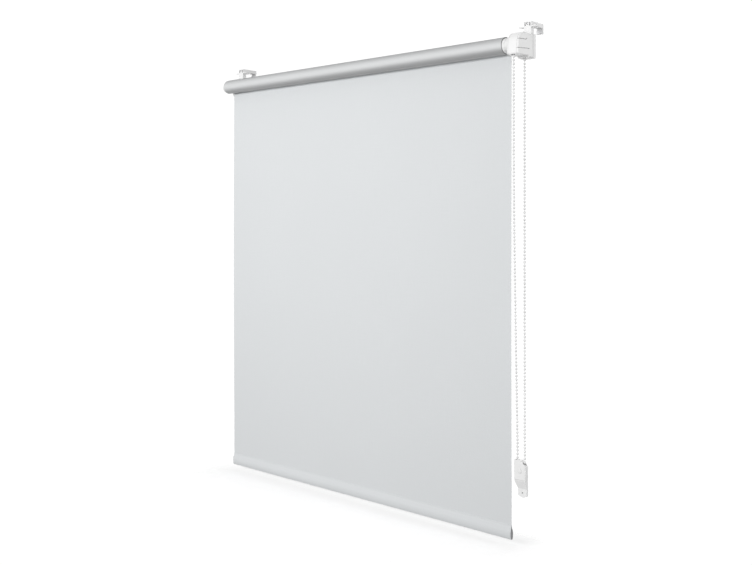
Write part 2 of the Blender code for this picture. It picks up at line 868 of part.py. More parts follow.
def build_housing(looks, drive):
    start = EDGE + HOUSING_START
    end = EDGE + HOUSING_END
    housing = piece(
        "drive_housing",
        prism([housing_outline(0)], "X", start, end),
        looks["white_plastic"],
        drive,
    )
    inside = prism(
        [housing_outline(HOUSING_WALL)], "X", start - PAST, end - HOUSING_WALL
    )
    half = CORE_KEY_HALF + GAP
    keyhole = box((start, -half, -half), (end + PAST, half, half))
    outlets = []
    room = BEAD_DIAMETER / 2 + OUTLET_ROOM
    for side in (-1, 1):
        middle = side * WHEEL_PITCH_RADIUS
        outlets.append(
            box(
                (CHAIN_X - OUTLET_HALF, middle - room, -HOUSING_RADIUS - 2 * PAST),
                (CHAIN_X + OUTLET_HALF, middle + room, -HOUSING_RADIUS + PAST),
            )
        )
    cuts = [cutter(mesh, drive) for mesh in (inside, keyhole, *outlets)]
    combine(housing, cuts, "DIFFERENCE")
    boss_bore = COVER_SCREW_RADIUS + GAP
    boss = prism(
        [
            circle(COVER_BOSS_RADIUS, 16, COVER_BOSS),
            circle(boss_bore, 12, COVER_BOSS),
        ],
        "X",
        start + GAP,
        end - OVERLAP,
    )
    combine(housing, [cutter(boss, drive)], "UNION")
    cover_start = EDGE + COVER_START
    cover = prism(
        [
            housing_outline(0),
            circle(COLLAR_RADIUS + GAP),
            circle(COVER_SCREW_RADIUS + SCREW_ROOM, 16, COVER_BOSS),
        ],
        "X",
        cover_start,
        cover_start + COVER_THICK,
    )
    piece("drive_cover", cover, looks["white_plastic"], drive)
    screw = small_screw(
        cover_start - GAP,
        COVER_BOSS_RADIUS - GAP,
        COVER_SCREW_RADIUS,
        COVER_SCREW_LENGTH,
        16,
    )
    piece("cover_screw", screw, looks["steel"], drive, (0, *COVER_BOSS))


# The brackets


def flange_span(side):
    """Where a bracket's flange starts and ends along X, from its own clamp."""
    if side > 0:
        return EDGE + RIGHT_FLANGE_INNER, EDGE + SIDE_PLATE_END - OVERLAP
    return -EDGE - ARM_FROM_EDGE - PLATE, -EDGE + LEFT_FLANGE_INNER


def bracket_flange(side, clamp_x):
    low, high = flange_span(side)
    outline = rectangle(low, high, BRACKET_BOTTOM_Z, BRACKET_TOP_Z)
    holes = [circle(FIXING_HOLE_RADIUS, 16, (clamp_x, z)) for z in screw_heights()]
    return prism([outline, *holes], "Y", FLANGE_FRONT_Y, FLANGE_FRONT_Y + PLATE)


def screw_heights():
    return (BRACKET_TOP_Z - SCREW_FROM_END, BRACKET_BOTTOM_Z + SCREW_FROM_END)


def side_plate_outline(inset):
    """The plate over the drive's end, drawn in from its rim but not at its back.

    It ends just inside the flange, so that no two faces lie in one plane.
    """
    back = FLANGE_FRONT_Y + PLATE - GAP - AXIS_Y
    return (
        arc((0, 0), HOUSING_RADIUS - inset, 180, 90, 16)
        + [
            (back, BRACKET_TOP - GAP - inset),
            (back, -BRACKET_BOTTOM + GAP + inset),
            (SPOUT_START + inset, -HOUSING_RADIUS - SPOUT_DEPTH + inset),
            (SPOUT_START - SPOUT_SLOPE + inset, -HOUSING_RADIUS + inset),
        ]
        + housing_corner(inset)
    )


def build_right_bracket(looks, clamp_x):
    """A flange behind the drive and a side plate over its end.

    Two slots leave a springy tongue in the plate, which the drive snaps under.
    """
    bracket = piece(
        "right_bracket", bracket_flange(1, clamp_x), looks["white_plastic"]
    )
    low = EDGE + SIDE_PLATE_START
    high = EDGE + SIDE_PLATE_END
    full = side_plate_outline(0)
    sections = [(low, full), (high - PLATE_RIM, full), (high, side_plate_outline(PLATE_RIM))]
    seat = (0, AXIS_Y, AXIS_Z)
    combine(bracket, [cutter(stacked(sections, "X"), None, seat)], "UNION")
    upper = [(TONGUE_FRONT, TONGUE_TOP - TONGUE_DROP), (TONGUE_CURVE_START, TONGUE_TOP)]
    curve_centre = (0, TONGUE_TOP + TONGUE_CURVE_RADIUS)
    upper += arc(curve_centre, TONGUE_CURVE_RADIUS, 270, 315, 4)
    lower = [
        (TONGUE_FRONT, TONGUE_BOTTOM - TONGUE_DROP),
        (TONGUE_BACK, TONGUE_BOTTOM + TONGUE_DROP / 2),
    ]
    slots = [
        prism([band(path, TONGUE_SLOT)], "X", low - PAST, high + PAST)
        for path in (upper, lower)
    ]
    combine(bracket, [cutter(slot, None, seat) for slot in slots], "DIFFERENCE")


def build_left_bracket(looks, clamp_x):
    """A flange behind the cloth and an arm round the idle pin."""
    bracket = piece(
        "left_bracket", bracket_flange(-1, clamp_x), looks["white_plastic"]
    )
    back = FLANGE_FRONT_Y + OVERLAP - AXIS_Y
    outline = (
        arc((0, 0), ARM_RADIUS, 90, 270, 16)
        + [(back - ARM_FLARE, -ARM_RADIUS), (back, -BRACKET_BOTTOM)]
        + [(back, BRACKET_TOP), (back - ARM_FLARE, ARM_RADIUS)]
    )
    low = -EDGE - ARM_FROM_EDGE - PLATE
    hole = circle(PIN_RADIUS + PIN_ROOM, 24)
    arm = prism([outline, hole], "X", low, low + PLATE)
    combine(bracket, [cutter(arm, None, (0, AXIS_Y, AXIS_Z))], "UNION")


# The clamps


def build_clamp(looks, side, name, clamp_x):
    """One clamp: its fixed body, pads, sliding jaw, screw, nut and fixings."""
    seat = empty(f"{name}_clamp", (clamp_x, 0, 0))
    slide = empty(f"{name}_jaw_slide", (0, 0, 0), seat)
    screw_axis = empty(f"{name}_clamp_screw_axis", (0, 0, CLAMP_SCREW_Z), slide)
    build_clamp_body(looks, side, name, seat)
    build_jaw(looks, name, slide)
    build_clamp_screw(looks, name, seat, screw_axis)
    build_bracket_screws(looks, name, seat)


def build_clamp_body(looks, side, name, seat):
    """A block behind the bracket, a post and a T-shaped hook over the sash.

    The hook carries a channel, with a boss on each side of the screw's nut.
    """
    back = -PAD - GAP
    inner = -side * BLOCK_INNER
    outer = side * BLOCK_OUTER
    left, right = min(inner, outer), max(inner, outer)
    half = POST_WIDTH / 2
    outline = [
        (left, BLOCK_BOTTOM),
        (right, BLOCK_BOTTOM),
        (right, BLOCK_TOP),
        (half, BLOCK_TOP),
        (half, HOOK_THICK / 2),
        (-half, HOOK_THICK / 2),
        (-half, BLOCK_TOP),
        (left, BLOCK_TOP),
    ]
    body = piece(
        f"{name}_clamp_body",
        prism([outline], "Y", POST_FRONT_Y, back),
        looks["white_plastic"],
        seat,
    )
    inside = CHANNEL_HALF - CHANNEL_WALL
    hook = prism(
        [
            [
                (-WING_REACH, POST_FRONT_Y),
                (WING_REACH, POST_FRONT_Y),
                (WING_REACH, WING_BACK),
                (CHANNEL_HALF, WING_BACK),
                (CHANNEL_HALF, CHANNEL_BACK),
                (-CHANNEL_HALF, CHANNEL_BACK),
                (-CHANNEL_HALF, WING_BACK),
                (-WING_REACH, WING_BACK),
            ]
        ],
        "Z",
        0,
        HOOK_THICK,
    )
    walls = [
        box(
            (low, POST_FRONT_Y, HOOK_THICK / 2),
            (low + CHANNEL_WALL, CHANNEL_BACK, CHANNEL_TOP),
        )
        for low in (-CHANNEL_HALF, inside)
    ]
    bosses = [
        box((-BOSS_HALF, front, HOOK_THICK / 2), (BOSS_HALF, rear, BOSS_TOP))
        for front, rear in ((POST_FRONT_Y, FRONT_BOSS_BACK), (BOSS_FRONT, BOSS_BACK))
    ]
    parts = [cutter(mesh, seat) for mesh in (hook, *walls, *bosses)]
    combine(body, parts, "UNION")
    screw_bore = CLAMP_SCREW_RADIUS + SCREW_ROOM
    bores = [round_y(screw_bore, POST_FRONT_Y - PAST, BOSS_BACK + OVERLAP, 20)]
    places = [(0, 0, CLAMP_SCREW_Z)]
    head_hole = FIXING_HEAD_RADIUS + SCREW_ROOM
    for height in screw_heights():
        bores.append(round_y(FIXING_HOLE_RADIUS, POST_FRONT_Y - PAST, PAST, 16))
        bores.append(round_y(head_hole, back - FIXING_HEAD_THICK - 2 * SCREW_ROOM, PAST, 20))
        places += [(0, 0, height)] * 2
    holes = [cutter(mesh, seat, place) for mesh, place in zip(bores, places)]
    combine(body, holes, "DIFFERENCE")
    pad = box((-PAD_HALF, -PAD, BLOCK_BOTTOM + PAD_FROM_FOOT), (PAD_HALF, 0, PAD_TOP))
    front_pad = piece(f"{name}_front_pad", pad, looks["rubber"], seat)
    corner_cuts = []
    for way in (-1, 1):
        low, high = sorted((way * (half - END_INSET), way * (PAD_HALF + PAST)))
        corner_cuts.append(
            box((low, -PAD - PAST, BLOCK_TOP - END_INSET), (high, PAST, PAST))
        )
    combine(front_pad, [cutter(mesh, seat) for mesh in corner_cuts], "DIFFERENCE")


def round_y(radius, low, high, steps):
    return prism([circle(radius, steps)], "Y", low, high)


def build_jaw(looks, name, slide):
    """Two rails in the hook's channel with the jaw that hangs behind the sash."""
    pad_back = SASH_THICK + JAW_PAD
    face = pad_back + GAP
    rail_low = HOOK_THICK + GAP
    rail_high = CHANNEL_TOP - GAP
    rail_outer = CHANNEL_HALF - CHANNEL_WALL - GAP
    jaw = piece(
        f"{name}_rear_jaw",
        box((-JAW_HALF, face, JAW_BOTTOM), (JAW_HALF, face + JAW_THICK, rail_high)),
        looks["white_plastic"],
        slide,
    )
    rails = []
    for low, high in ((-rail_outer, -RAIL_INNER), (RAIL_INNER, rail_outer)):
        rails.append(
            box((low, RAIL_FRONT, rail_low), (high, face + JAW_THICK / 2, rail_high))
        )
    combine(jaw, [cutter(mesh, slide) for mesh in rails], "UNION")
    hole = round_y(
        CLAMP_SCREW_RADIUS + SCREW_ROOM, face - PAST, face + JAW_THICK + PAST, 20
    )
    combine(jaw, [cutter(hole, slide, (0, 0, CLAMP_SCREW_Z))], "DIFFERENCE")
    pad = box(
        (-JAW_HALF + END_INSET, SASH_THICK, JAW_BOTTOM + END_INSET),
        (JAW_HALF - END_INSET, pad_back, JAW_PAD_TOP),
    )
    piece(f"{name}_jaw_pad", pad, looks["rubber"], slide)


def turned_along_y(profile, steps):
    """A profile of (y, radius) points turned about the Y axis."""
    mesh = turned(profile, steps)
    for vert in mesh.vertices:
        x, y, z = vert.co
        vert.co = (-y, x, z)
    return mesh


def build_clamp_screw(looks, name, seat, screw_axis):
    """The screw that draws the jaw in, and the square nut that it turns in."""
    head = SASH_THICK + JAW_PAD + GAP + JAW_THICK + GAP
    radius = CLAMP_SCREW_RADIUS
    head_end = head + CLAMP_HEAD_THICK
    tip_chamfer = radius / 4
    screw = piece(
        f"{name}_clamp_screw",
        turned_along_y(
            [
                (CLAMP_SCREW_TIP, 0),
                (CLAMP_SCREW_TIP, radius - tip_chamfer),
                (CLAMP_SCREW_TIP + tip_chamfer, radius),
                (head, radius),
                (head, CLAMP_HEAD_RADIUS),
                (head_end - SMALL_CHAMFER, CLAMP_HEAD_RADIUS),
                (head_end, CLAMP_HEAD_RADIUS - SMALL_CHAMFER),
                (head_end, 0),
            ],
            24,
        ),
        looks["steel"],
        screw_axis,
    )
    slot = box(
        (-CLAMP_HEAD_RADIUS - PAST, head_end - CLAMP_SLOT_DEPTH, -CLAMP_SLOT_HALF),
        (CLAMP_HEAD_RADIUS + PAST, head_end + PAST, CLAMP_SLOT_HALF),
    )
    combine(screw, [cutter(slot, screw_axis)], "DIFFERENCE")
    nut_low = CLAMP_SCREW_Z - NUT_HALF + GAP
    nut = prism(
        [
            rectangle(-NUT_HALF, NUT_HALF, nut_low, CLAMP_SCREW_Z + NUT_HALF),
            circle(radius + SCREW_ROOM, 20, (0, CLAMP_SCREW_Z)),
        ],
        "Y",
        NUT_FRONT,
        NUT_BACK,
    )
    piece(f"{name}_clamp_nut", nut, looks["steel"], seat)


def build_bracket_screws(looks, name, seat):
    """The two screws that hold a bracket's flange to its clamp block."""
    head_back = -PAD - GAP - SCREW_ROOM
    head_front = head_back - FIXING_HEAD_THICK
    tip = FLANGE_FRONT_Y + SCREW_ROOM
    for label, height in zip(("upper", "lower"), screw_heights()):
        mesh = turned_along_y(
            [
                (tip, 0),
                (tip, FIXING_SHANK_RADIUS),
                (head_front, FIXING_SHANK_RADIUS),
                (head_front, FIXING_HEAD_RADIUS),
                (head_back, FIXING_HEAD_RADIUS),
                (head_back, 0),
            ],
            16,
        )
        piece(f"{name}_bracket_screw_{label}", mesh, looks["steel"], seat, (0, 0, height))


# The hanging cloth and the hem


def build_sheet(looks):
    mesh = box(
        (-EDGE, SHEET_Y - CLOTH / 2, HEM_TOP + GAP),
        (EDGE, SHEET_Y + CLOTH / 2, AXIS_Z),
    )
    piece("hanging_cloth", mesh, looks["cloth"])


def pocket_outline(room, top):
    """The hem pocket's section, off the bar by the room and drawn in to the seam."""
    tip = BAR_TIP + room
    bottom = GAP + CLOTH - room
    height = BAR_HEIGHT + 2 * room
    shoulder = bottom + height - tip
    leave = (
        tip * math.cos(POCKET_LEAVES_BAR),
        shoulder + tip * math.sin(POCKET_LEAVES_BAR),
    )
    right = full_side(BAR_THICK + 2 * room, height, bottom, tip) + [leave]
    left = [(-y, z) for y, z in right[::-1]]
    lower = arc((0, bottom + tip), tip, 180, 360, 8)[1:-1]
    return lower + right + top + left


def build_hem(looks, hem):
    bar_bottom = GAP + CLOTH
    seam_half = CLOTH + STITCH_ROOM
    seam_low = HEM_HEIGHT - HEM_SEAM
    outer = pocket_outline(
        GAP + CLOTH,
        [
            (seam_half, seam_low),
            (seam_half, HEM_HEIGHT),
            (-seam_half, HEM_HEIGHT),
            (-seam_half, seam_low),
        ],
    )
    inner = pocket_outline(GAP, [(0, seam_low - POCKET_PEAK)])
    pocket = prism([outer, inner], "X", -EDGE, EDGE)
    piece("hem_pocket", pocket, looks["cloth"], hem)
    bar_half = EDGE - END_INSET
    wall = BAR_WALL
    hollow = leaf(
        BAR_THICK - 2 * wall, BAR_HEIGHT - 2 * wall, bar_bottom + wall, BAR_TIP - wall
    )
    solid = leaf(BAR_THICK, BAR_HEIGHT, bar_bottom, BAR_TIP)
    bar = prism([solid, hollow], "X", -bar_half, bar_half)
    piece("hem_bar", bar, looks["aluminium"], hem)
    for name, way in (("left", -1), ("right", 1)):
        build_hem_cap(looks, hem, name, way, bar_bottom)


def build_hem_cap(looks, hem, name, way, bar_bottom):
    """A thin cap over the bar's end, with a flat tongue that goes into it."""
    flange_start = EDGE + GAP
    lip = HEM_FLANGE_LIP
    flange = leaf(
        BAR_THICK + 2 * lip, BAR_HEIGHT + 2 * lip, bar_bottom - lip, BAR_TIP + lip
    )
    tongue_bottom = bar_bottom + (BAR_HEIGHT - HEM_TONGUE_HEIGHT) / 2
    tongue = capsule(HEM_TONGUE_THICK, HEM_TONGUE_HEIGHT, tongue_bottom, 4)
    ends = sorted((way * flange_start, way * (flange_start + HEM_CAP_FLANGE)))
    cap = piece(
        f"hem_end_cap_{name}", prism([flange], "X", *ends), looks["grey_plastic"], hem
    )
    ends = sorted((way * (EDGE - HEM_TONGUE_LENGTH), way * (flange_start + OVERLAP)))
    combine(cap, [cutter(prism([tongue], "X", *ends), hem)], "UNION")


# The chain and its tensioner


def strand_points(route):
    points = [(CHAIN_X + x * MM, y * MM, z * MM) for x, y, z in route]
    return smooth_route(points, STRAND_POINTS)


def build_chain(looks):
    """The loop of ball chain: over the wheel, down both sides, round the pulley."""
    radius = BEAD_DIAMETER / 2
    front_out = AXIS_Y - WHEEL_PITCH_RADIUS
    rear_out = AXIS_Y + WHEEL_PITCH_RADIUS
    over = [(front_out, AXIS_Z - HOUSING_RADIUS)]
    over += arc((AXIS_Y, AXIS_Z), WHEEL_PITCH_RADIUS, 180, 0, 24)
    over += [(rear_out, AXIS_Z - HOUSING_RADIUS - SPOUT_DEPTH)]
    tube("chain_over_wheel", [(CHAIN_X, *p) for p in over], radius, looks["chain"])
    for name, route in (
        ("chain_front_strand", FRONT_STRAND_ROUTE),
        ("chain_rear_strand", REAR_STRAND_ROUTE),
    ):
        tube(name, strand_points(route), radius, looks["chain"])
    under = [(CHAIN_X - PULLEY_PITCH_RADIUS, TENSIONER_TOP)]
    under += arc((CHAIN_X, PULLEY_Z), PULLEY_PITCH_RADIUS, 180, 360, 18)
    under += [(CHAIN_X + PULLEY_PITCH_RADIUS, TENSIONER_TOP)]
    points = [(x, TENSIONER_Y, z) for x, z in under]
    tube("chain_under_pulley", points, radius, looks["chain"])


def tensioner_outline(length):
    """The tensioner's face, from its top centre: a sloped top, and a tail below."""
    half = TENSIONER_HALF
    top = [(half, -TOP_SLOPE_DEPTH), (TOP_SLOPE_START, 0), (-half, 0)]
    if length < TENSIONER_LENGTH:
        return [(-half, -length), (half, -length), *top]
    left_corner, right_corner = TAIL_CORNERS
    return [
        (-half, -TENSIONER_TAPER_START),
        (TAIL_FRONT, -TENSIONER_TAPER_END),
        (TAIL_FRONT, -length + left_corner),
        (TAIL_POINT, -length),
        (half, -length + right_corner),
        *top,
    ]


def quarter_turn(obj):
    """Turn a piece's mesh about Z, so that what faced +X faces the room."""
    for vert in obj.data.vertices:
        x, y, z = vert.co
        vert.co = (y, -x, z)


def build_tensioner(looks):
    """Two shells round a small pulley, with a tail that can be screwed to a frame.

    The rear shell's tail is as thick as both shells where they end, then slopes back.
    """
    seat = empty("tensioner_seat", (CHAIN_X, TENSIONER_Y, TENSIONER_TOP))
    axis = empty("pulley_axis", (0, 0, -PULLEY_DROP), seat)
    half = TENSIONER_THICK / 2
    split = GAP / 2
    room = half - TENSIONER_WALL
    cavity_half = PULLEY_PITCH_RADIUS + BEAD_DIAMETER / 2 + CAVITY_ROOM
    web = PULLEY_PITCH_RADIUS - BEAD_DIAMETER / 2 - CAVITY_ROOM
    cavity = [(cavity_half, PAST), (web, PAST), (web, -PAST)]
    cavity += [(-web, -PAST), (-web, PAST), (-cavity_half, PAST)]
    cavity += arc((0, -PULLEY_DROP), cavity_half, 180, 360, 12)
    inner = piece(
        "tensioner_inner_shell",
        prism([tensioner_outline(TENSIONER_LENGTH)], "X", -half, half),
        looks["white_plastic"],
        seat,
    )
    side_profile = [
        (-half - PAST, PAST),
        (-split, PAST),
        (-split, -TENSIONER_BODY - GAP),
        (half, -TENSIONER_BODY - GAP),
        (half, -TENSIONER_TAPER_START),
        (TAIL_FACE, -TENSIONER_TAPER_END),
        (TAIL_FACE, -TENSIONER_LENGTH - PAST),
        (-half - PAST, -TENSIONER_LENGTH - PAST),
    ]
    profile = prism([side_profile], "Y", -TENSIONER_HALF - PAST, TENSIONER_HALF + PAST)
    combine(inner, [cutter(profile, seat)], "INTERSECT")
    tail_hole = prism([circle(TAIL_HOLE_RADIUS, 20, TAIL_HOLE)], "X", -half - PAST, PAST)
    combine(inner, [cutter(tail_hole, seat)], "DIFFERENCE")
    outer = piece(
        "tensioner_outer_shell",
        prism([tensioner_outline(TENSIONER_BODY)], "X", split, half),
        looks["white_plastic"],
        seat,
    )
    for shell in (inner, outer):
        hollow = prism([cavity], "X", -room, room)
        hole = circle(AXLE_BORE, 20, (0, -PULLEY_DROP))
        bore = prism([hole], "X", -half - PAST, half + PAST)
        combine(shell, [cutter(mesh, seat) for mesh in (hollow, bore)], "DIFFERENCE")
    rim = PULLEY_PITCH_RADIUS - BEAD_ROOM
    face = room - GAP
    cheek = face - PULLEY_CHEEK
    pulley = piece(
        "tensioner_pulley",
        turned(
            [
                (-face, PULLEY_BORE),
                (-face, rim + PULLEY_RIM),
                (-cheek, rim + PULLEY_RIM),
                (-cheek + PULLEY_SLOPE, rim),
                (cheek - PULLEY_SLOPE, rim),
                (cheek, rim + PULLEY_RIM),
                (face, rim + PULLEY_RIM),
                (face, PULLEY_BORE),
            ],
            steps=32,
            ring=True,
        ),
        looks["white_plastic"],
        axis,
    )
    head = half + GAP
    rivet = piece(
        "tensioner_axle",
        turned(
            [
                (-half, 0),
                (-half, AXLE_RADIUS),
                (head, AXLE_RADIUS),
                (head, RIVET_RADIUS),
                (head + RIVET_STEP, RIVET_RADIUS),
                (head + RIVET_THICK, RIVET_RADIUS - RIVET_CHAMFER),
                (head + RIVET_THICK, 0),
            ],
            steps=20,
        ),
        looks["white_plastic"],
        seat,
        (0, 0, -PULLEY_DROP),
    )
    for obj in (inner, outer, pulley, rivet):
        quarter_turn(obj)


def build_blind():
    clear_scene()
    looks = make_materials()
    roller = empty("roller_axis", (0, AXIS_Y, AXIS_Z))
    drive = empty("drive_seat", (0, AXIS_Y, AXIS_Z))
    pin_axis = empty("idle_pin_axis", (0, AXIS_Y, AXIS_Z))
    hem = empty("hem_slide", (0, SHEET_Y, HEM_BOTTOM))
    build_tube(looks, roller)
    build_wound_cloth(looks, roller)
    build_drive_plug(looks, roller)
    build_chain_wheel(looks, roller)
    build_brake_springs(looks, roller)
    build_idle_plug(looks, roller)
    build_idle_pin(looks, pin_axis)
    build_core(looks, drive)
    build_retaining_screw(looks, drive)
    build_housing(looks, drive)
    right_clamp_x = EDGE + RIGHT_CLAMP_FROM_EDGE
    left_clamp_x = -EDGE - LEFT_CLAMP_FROM_EDGE
    build_right_bracket(looks, right_clamp_x)
    build_left_bracket(looks, left_clamp_x)
    build_clamp(looks, 1, "right", right_clamp_x)
    build_clamp(looks, -1, "left", left_clamp_x)
    build_sheet(looks)
    build_hem(looks, hem)
    build_chain(looks)
    build_tensioner(looks)
    bpy.context.view_layer.update()


build_blind()
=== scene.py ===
"""Looks of the clamp-on roller blind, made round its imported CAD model.

The frame is metres with +Z up, +Y towards the window and the bead chain at the
+X end. The origin is on the top front edge of the sash that the clamps grip.
"""

import json
import math
import random

import bmesh
import bpy
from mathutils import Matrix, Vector, noise


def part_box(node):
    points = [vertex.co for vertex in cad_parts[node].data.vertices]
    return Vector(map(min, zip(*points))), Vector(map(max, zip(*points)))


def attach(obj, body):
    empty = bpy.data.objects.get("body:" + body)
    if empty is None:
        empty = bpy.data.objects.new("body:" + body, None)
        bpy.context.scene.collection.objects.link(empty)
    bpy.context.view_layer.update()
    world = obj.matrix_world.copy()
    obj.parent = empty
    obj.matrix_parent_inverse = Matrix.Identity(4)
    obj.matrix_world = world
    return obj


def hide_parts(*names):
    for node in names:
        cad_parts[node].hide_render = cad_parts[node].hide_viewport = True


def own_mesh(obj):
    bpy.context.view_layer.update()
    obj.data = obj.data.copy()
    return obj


MM = 0.001

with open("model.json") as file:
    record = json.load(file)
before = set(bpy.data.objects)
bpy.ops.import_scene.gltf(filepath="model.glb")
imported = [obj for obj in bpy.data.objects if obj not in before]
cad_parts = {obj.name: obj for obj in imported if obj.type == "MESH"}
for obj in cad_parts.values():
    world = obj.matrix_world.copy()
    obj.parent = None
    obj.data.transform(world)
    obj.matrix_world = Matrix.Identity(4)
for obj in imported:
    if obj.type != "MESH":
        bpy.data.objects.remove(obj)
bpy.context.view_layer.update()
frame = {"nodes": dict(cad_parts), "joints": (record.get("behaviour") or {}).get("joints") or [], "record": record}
nodes = frame["nodes"]

# Places that the joints give
joints = {joint["name"]: joint for joint in frame["joints"]}
AXIS_Y, AXIS_Z = joints["roller_spin"]["pos_m"][1:]
CHAIN_X, TENSIONER_Y, PULLEY_Z = joints["tensioner_pulley_turn"]["pos_m"]
SPRING_END = joints["idle_pin_slide"]["deforming_nodes"][0]["fixed_end_x_m"]


def span(node, axis):
    """Where a CAD node starts and ends along an axis, rounded to 0.1 micrometres."""
    place = "XYZ".index(axis)
    low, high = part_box(node)
    return round(low[place], 7), round(high[place], 7)


# The cloth: half its width, its thickness and its middle's plane
EDGE = span("hanging_cloth", "X")[1]
sheet_front, sheet_back = span("hanging_cloth", "Y")
CLOTH = sheet_back - sheet_front
SHEET_Y = (sheet_front + sheet_back) / 2

# The roll, a spiral from its outer end inwards
ROLL_RADIUS = span("wound_cloth", "Y")[1] - AXIS_Y
WOUND_TURNS = 1.75
TURN_PITCH = 0.85 * MM

# The hem pocket and the bar in it
HEM_BOTTOM, HEM_TOP = span("hem_pocket", "Z")
bar_front, bar_back = span("hem_bar", "Y")
bar_foot, bar_top = span("hem_bar", "Z")
BAR_THICKNESS = bar_back - bar_front
BAR_HEIGHT = bar_top - bar_foot
BAR_LIFT = bar_foot - HEM_BOTTOM
BAR_EDGE_RADIUS = 1.2 * MM

# The chain, whose arcs end level with the housing, its spout and the tensioner's top
BEAD_PITCH = 6.0 * MM
chain_left, chain_right = span("chain_over_wheel", "X")
chain_front, chain_back = span("chain_over_wheel", "Y")
arc_left, arc_right = span("chain_under_pulley", "X")
BEAD_RADIUS = (chain_right - chain_left) / 2
WHEEL_PITCH_RADIUS = (chain_back - chain_front) / 2 - BEAD_RADIUS
PULLEY_PITCH_RADIUS = (arc_right - arc_left) / 2 - BEAD_RADIUS
TENSIONER_TOP = span("chain_under_pulley", "Z")[1]
HOUSING_RADIUS = span("drive_housing", "Z")[1] - AXIS_Z
SPOUT_DEPTH = AXIS_Z - HOUSING_RADIUS - span("chain_over_wheel", "Z")[0]

# Routes of the two free chain strands in millimetres, as (x from the wheel's plane,
# y, z)
FRONT_STRAND_ROUTE = [
    (0, -47.88, -51.7),
    (0, -47.88, -70),
    (0, -47.88, -110),
    (-0.01, -47.84, -160),
    (-0.13, -47.53, -220),
    (-0.54, -46.38, -290),
    (-1.38, -44.06, -360),
    (-2.49, -40.98, -430),
    (-3.67, -37.7, -500),
    (-4.93, -34.23, -570),
    (-6.18, -30.76, -630),
    (-7.08, -28.26, -680),
    (-7.5, -27.1, -710),
    (-7.5, -27.1, -730.2),
]
REAR_STRAND_ROUTE = [
    (0, -17.12, -54.2),
    (0, -17.12, -75),
    (0, -17.12, -115),
    (0.02, -17.15, -170),
    (0.15, -17.32, -240),
    (0.53, -17.82, -310),
    (1.28, -18.83, -380),
    (2.41, -20.33, -450),
    (3.73, -22.08, -520),
    (5.24, -24.09, -590),
    (6.37, -25.6, -650),
    (7.31, -26.85, -690),
    (7.5, -27.1, -712),
    (7.5, -27.1, -730.2),
]


# The camera

CAMERA_PLACE = (1.412, -1.407, -0.327)
CAMERA_TURN = 44.22
CAMERA_LENS = 48.07
CAMERA_SHIFT = -0.0832


def make_camera():
    """A level view from the room, past the chain's end, framed by a lens shift."""
    data = bpy.data.cameras.new("camera")
    data.sensor_fit = "HORIZONTAL"
    data.sensor_width = 36.0
    data.lens = CAMERA_LENS
    data.shift_y = CAMERA_SHIFT
    data.clip_start = 0.05
    data.clip_end = 60.0
    camera = bpy.data.objects.new("camera", data)
    camera.location = CAMERA_PLACE
    camera.rotation_euler = (math.radians(90), 0, math.radians(CAMERA_TURN))
    bpy.context.scene.collection.objects.link(camera)
    bpy.context.scene.camera = camera


# Node materials


class Look:
    """A Principled material with helpers for the textures that feed it."""

    def __init__(self, name, colour, roughness, metallic=0.0, **sockets):
        self.material = bpy.data.materials.new(name)
        self.material.use_nodes = True
        self.material.diffuse_color = (*colour, 1.0)
        self.tree = self.material.node_tree
        self.shader = self.tree.nodes["Principled BSDF"]
        self.set("Base Color", (*colour, 1.0))
        self.set("Roughness", roughness)
        self.set("Metallic", metallic)
        for socket, value in sockets.items():
            self.set(socket.replace("_", " "), value)
        self.colour = colour
        self.roughness = roughness
        self.coords = self.node("ShaderNodeTexCoord").outputs["Object"]

    def set(self, socket, value):
        """Gives one of the shader's sockets a plain value."""
        self.shader.inputs[socket].default_value = value

    def node(self, kind, inputs=None, **props):
        """A new node, its inputs plain values or other nodes' outputs."""
        made = self.tree.nodes.new(kind)
        for key, value in props.items():
            setattr(made, key, value)
        for key, value in (inputs or {}).items():
            if isinstance(value, bpy.types.NodeSocket):
                self.tree.links.new(value, made.inputs[key])
            else:
                made.inputs[key].default_value = value
        return made

    def scaled(self, scale):
        """Object coordinates, stretched by a factor along each axis."""
        mapping = self.node("ShaderNodeMapping", {"Vector": self.coords})
        mapping.inputs["Scale"].default_value = scale
        return mapping.outputs["Vector"]

    def noise(self, scale, stretch=(1, 1, 1), detail=3.0, rough=0.5):
        """A noise texture in object coordinates, most of it from 0.35 to 0.65."""
        made = self.node(
            "ShaderNodeTexNoise",
            {
                "Vector": self.scaled(stretch),
                "Scale": scale,
                "Detail": detail,
                "Roughness": rough,
            },
        )
        return made.outputs["Fac"]

    def math(self, operation, a, b=0.0):
        made = self.node("ShaderNodeMath", {0: a, 1: b}, operation=operation)
        return made.outputs[0]

    def spread(self, value, low, high, start=0.35, end=0.65):
        """Maps a texture's middle range onto a range of values."""
        made = self.node(
            "ShaderNodeMapRange",
            {
                "Value": value,
                "From Min": start,
                "From Max": end,
                "To Min": low,
                "To Max": high,
            },
        )
        return made.outputs["Result"]

    def mix(self, factor, one, two):
        """A colour between two, each a colour or another node's output."""
        made = self.node("ShaderNodeMix", data_type="RGBA")
        for index, value in ((0, factor), (6, one), (7, two)):
            if isinstance(value, bpy.types.NodeSocket):
                self.tree.links.new(value, made.inputs[index])
            elif index == 0:
                made.inputs[0].default_value = value
            else:
                made.inputs[index].default_value = (*value, 1.0)
        return made.outputs[2]

    def paint(self, socket, output):
        """Feeds one of the shader's sockets."""
        self.tree.links.new(output, self.shader.inputs[socket])

    def bump(self, height, distance, strength=1.0, under=None):
        """A normal from a height, on top of another bump if one is given."""
        inputs = {"Height": height, "Distance": distance, "Strength": strength}
        if under is not None:
            inputs["Normal"] = under
        return self.node("ShaderNodeBump", inputs).outputs["Normal"]


def shade(colour, factor):
    """A colour made lighter or darker."""
    return tuple(min(1.0, c * factor) for c in colour)


THREAD_PITCH = 0.45 * MM


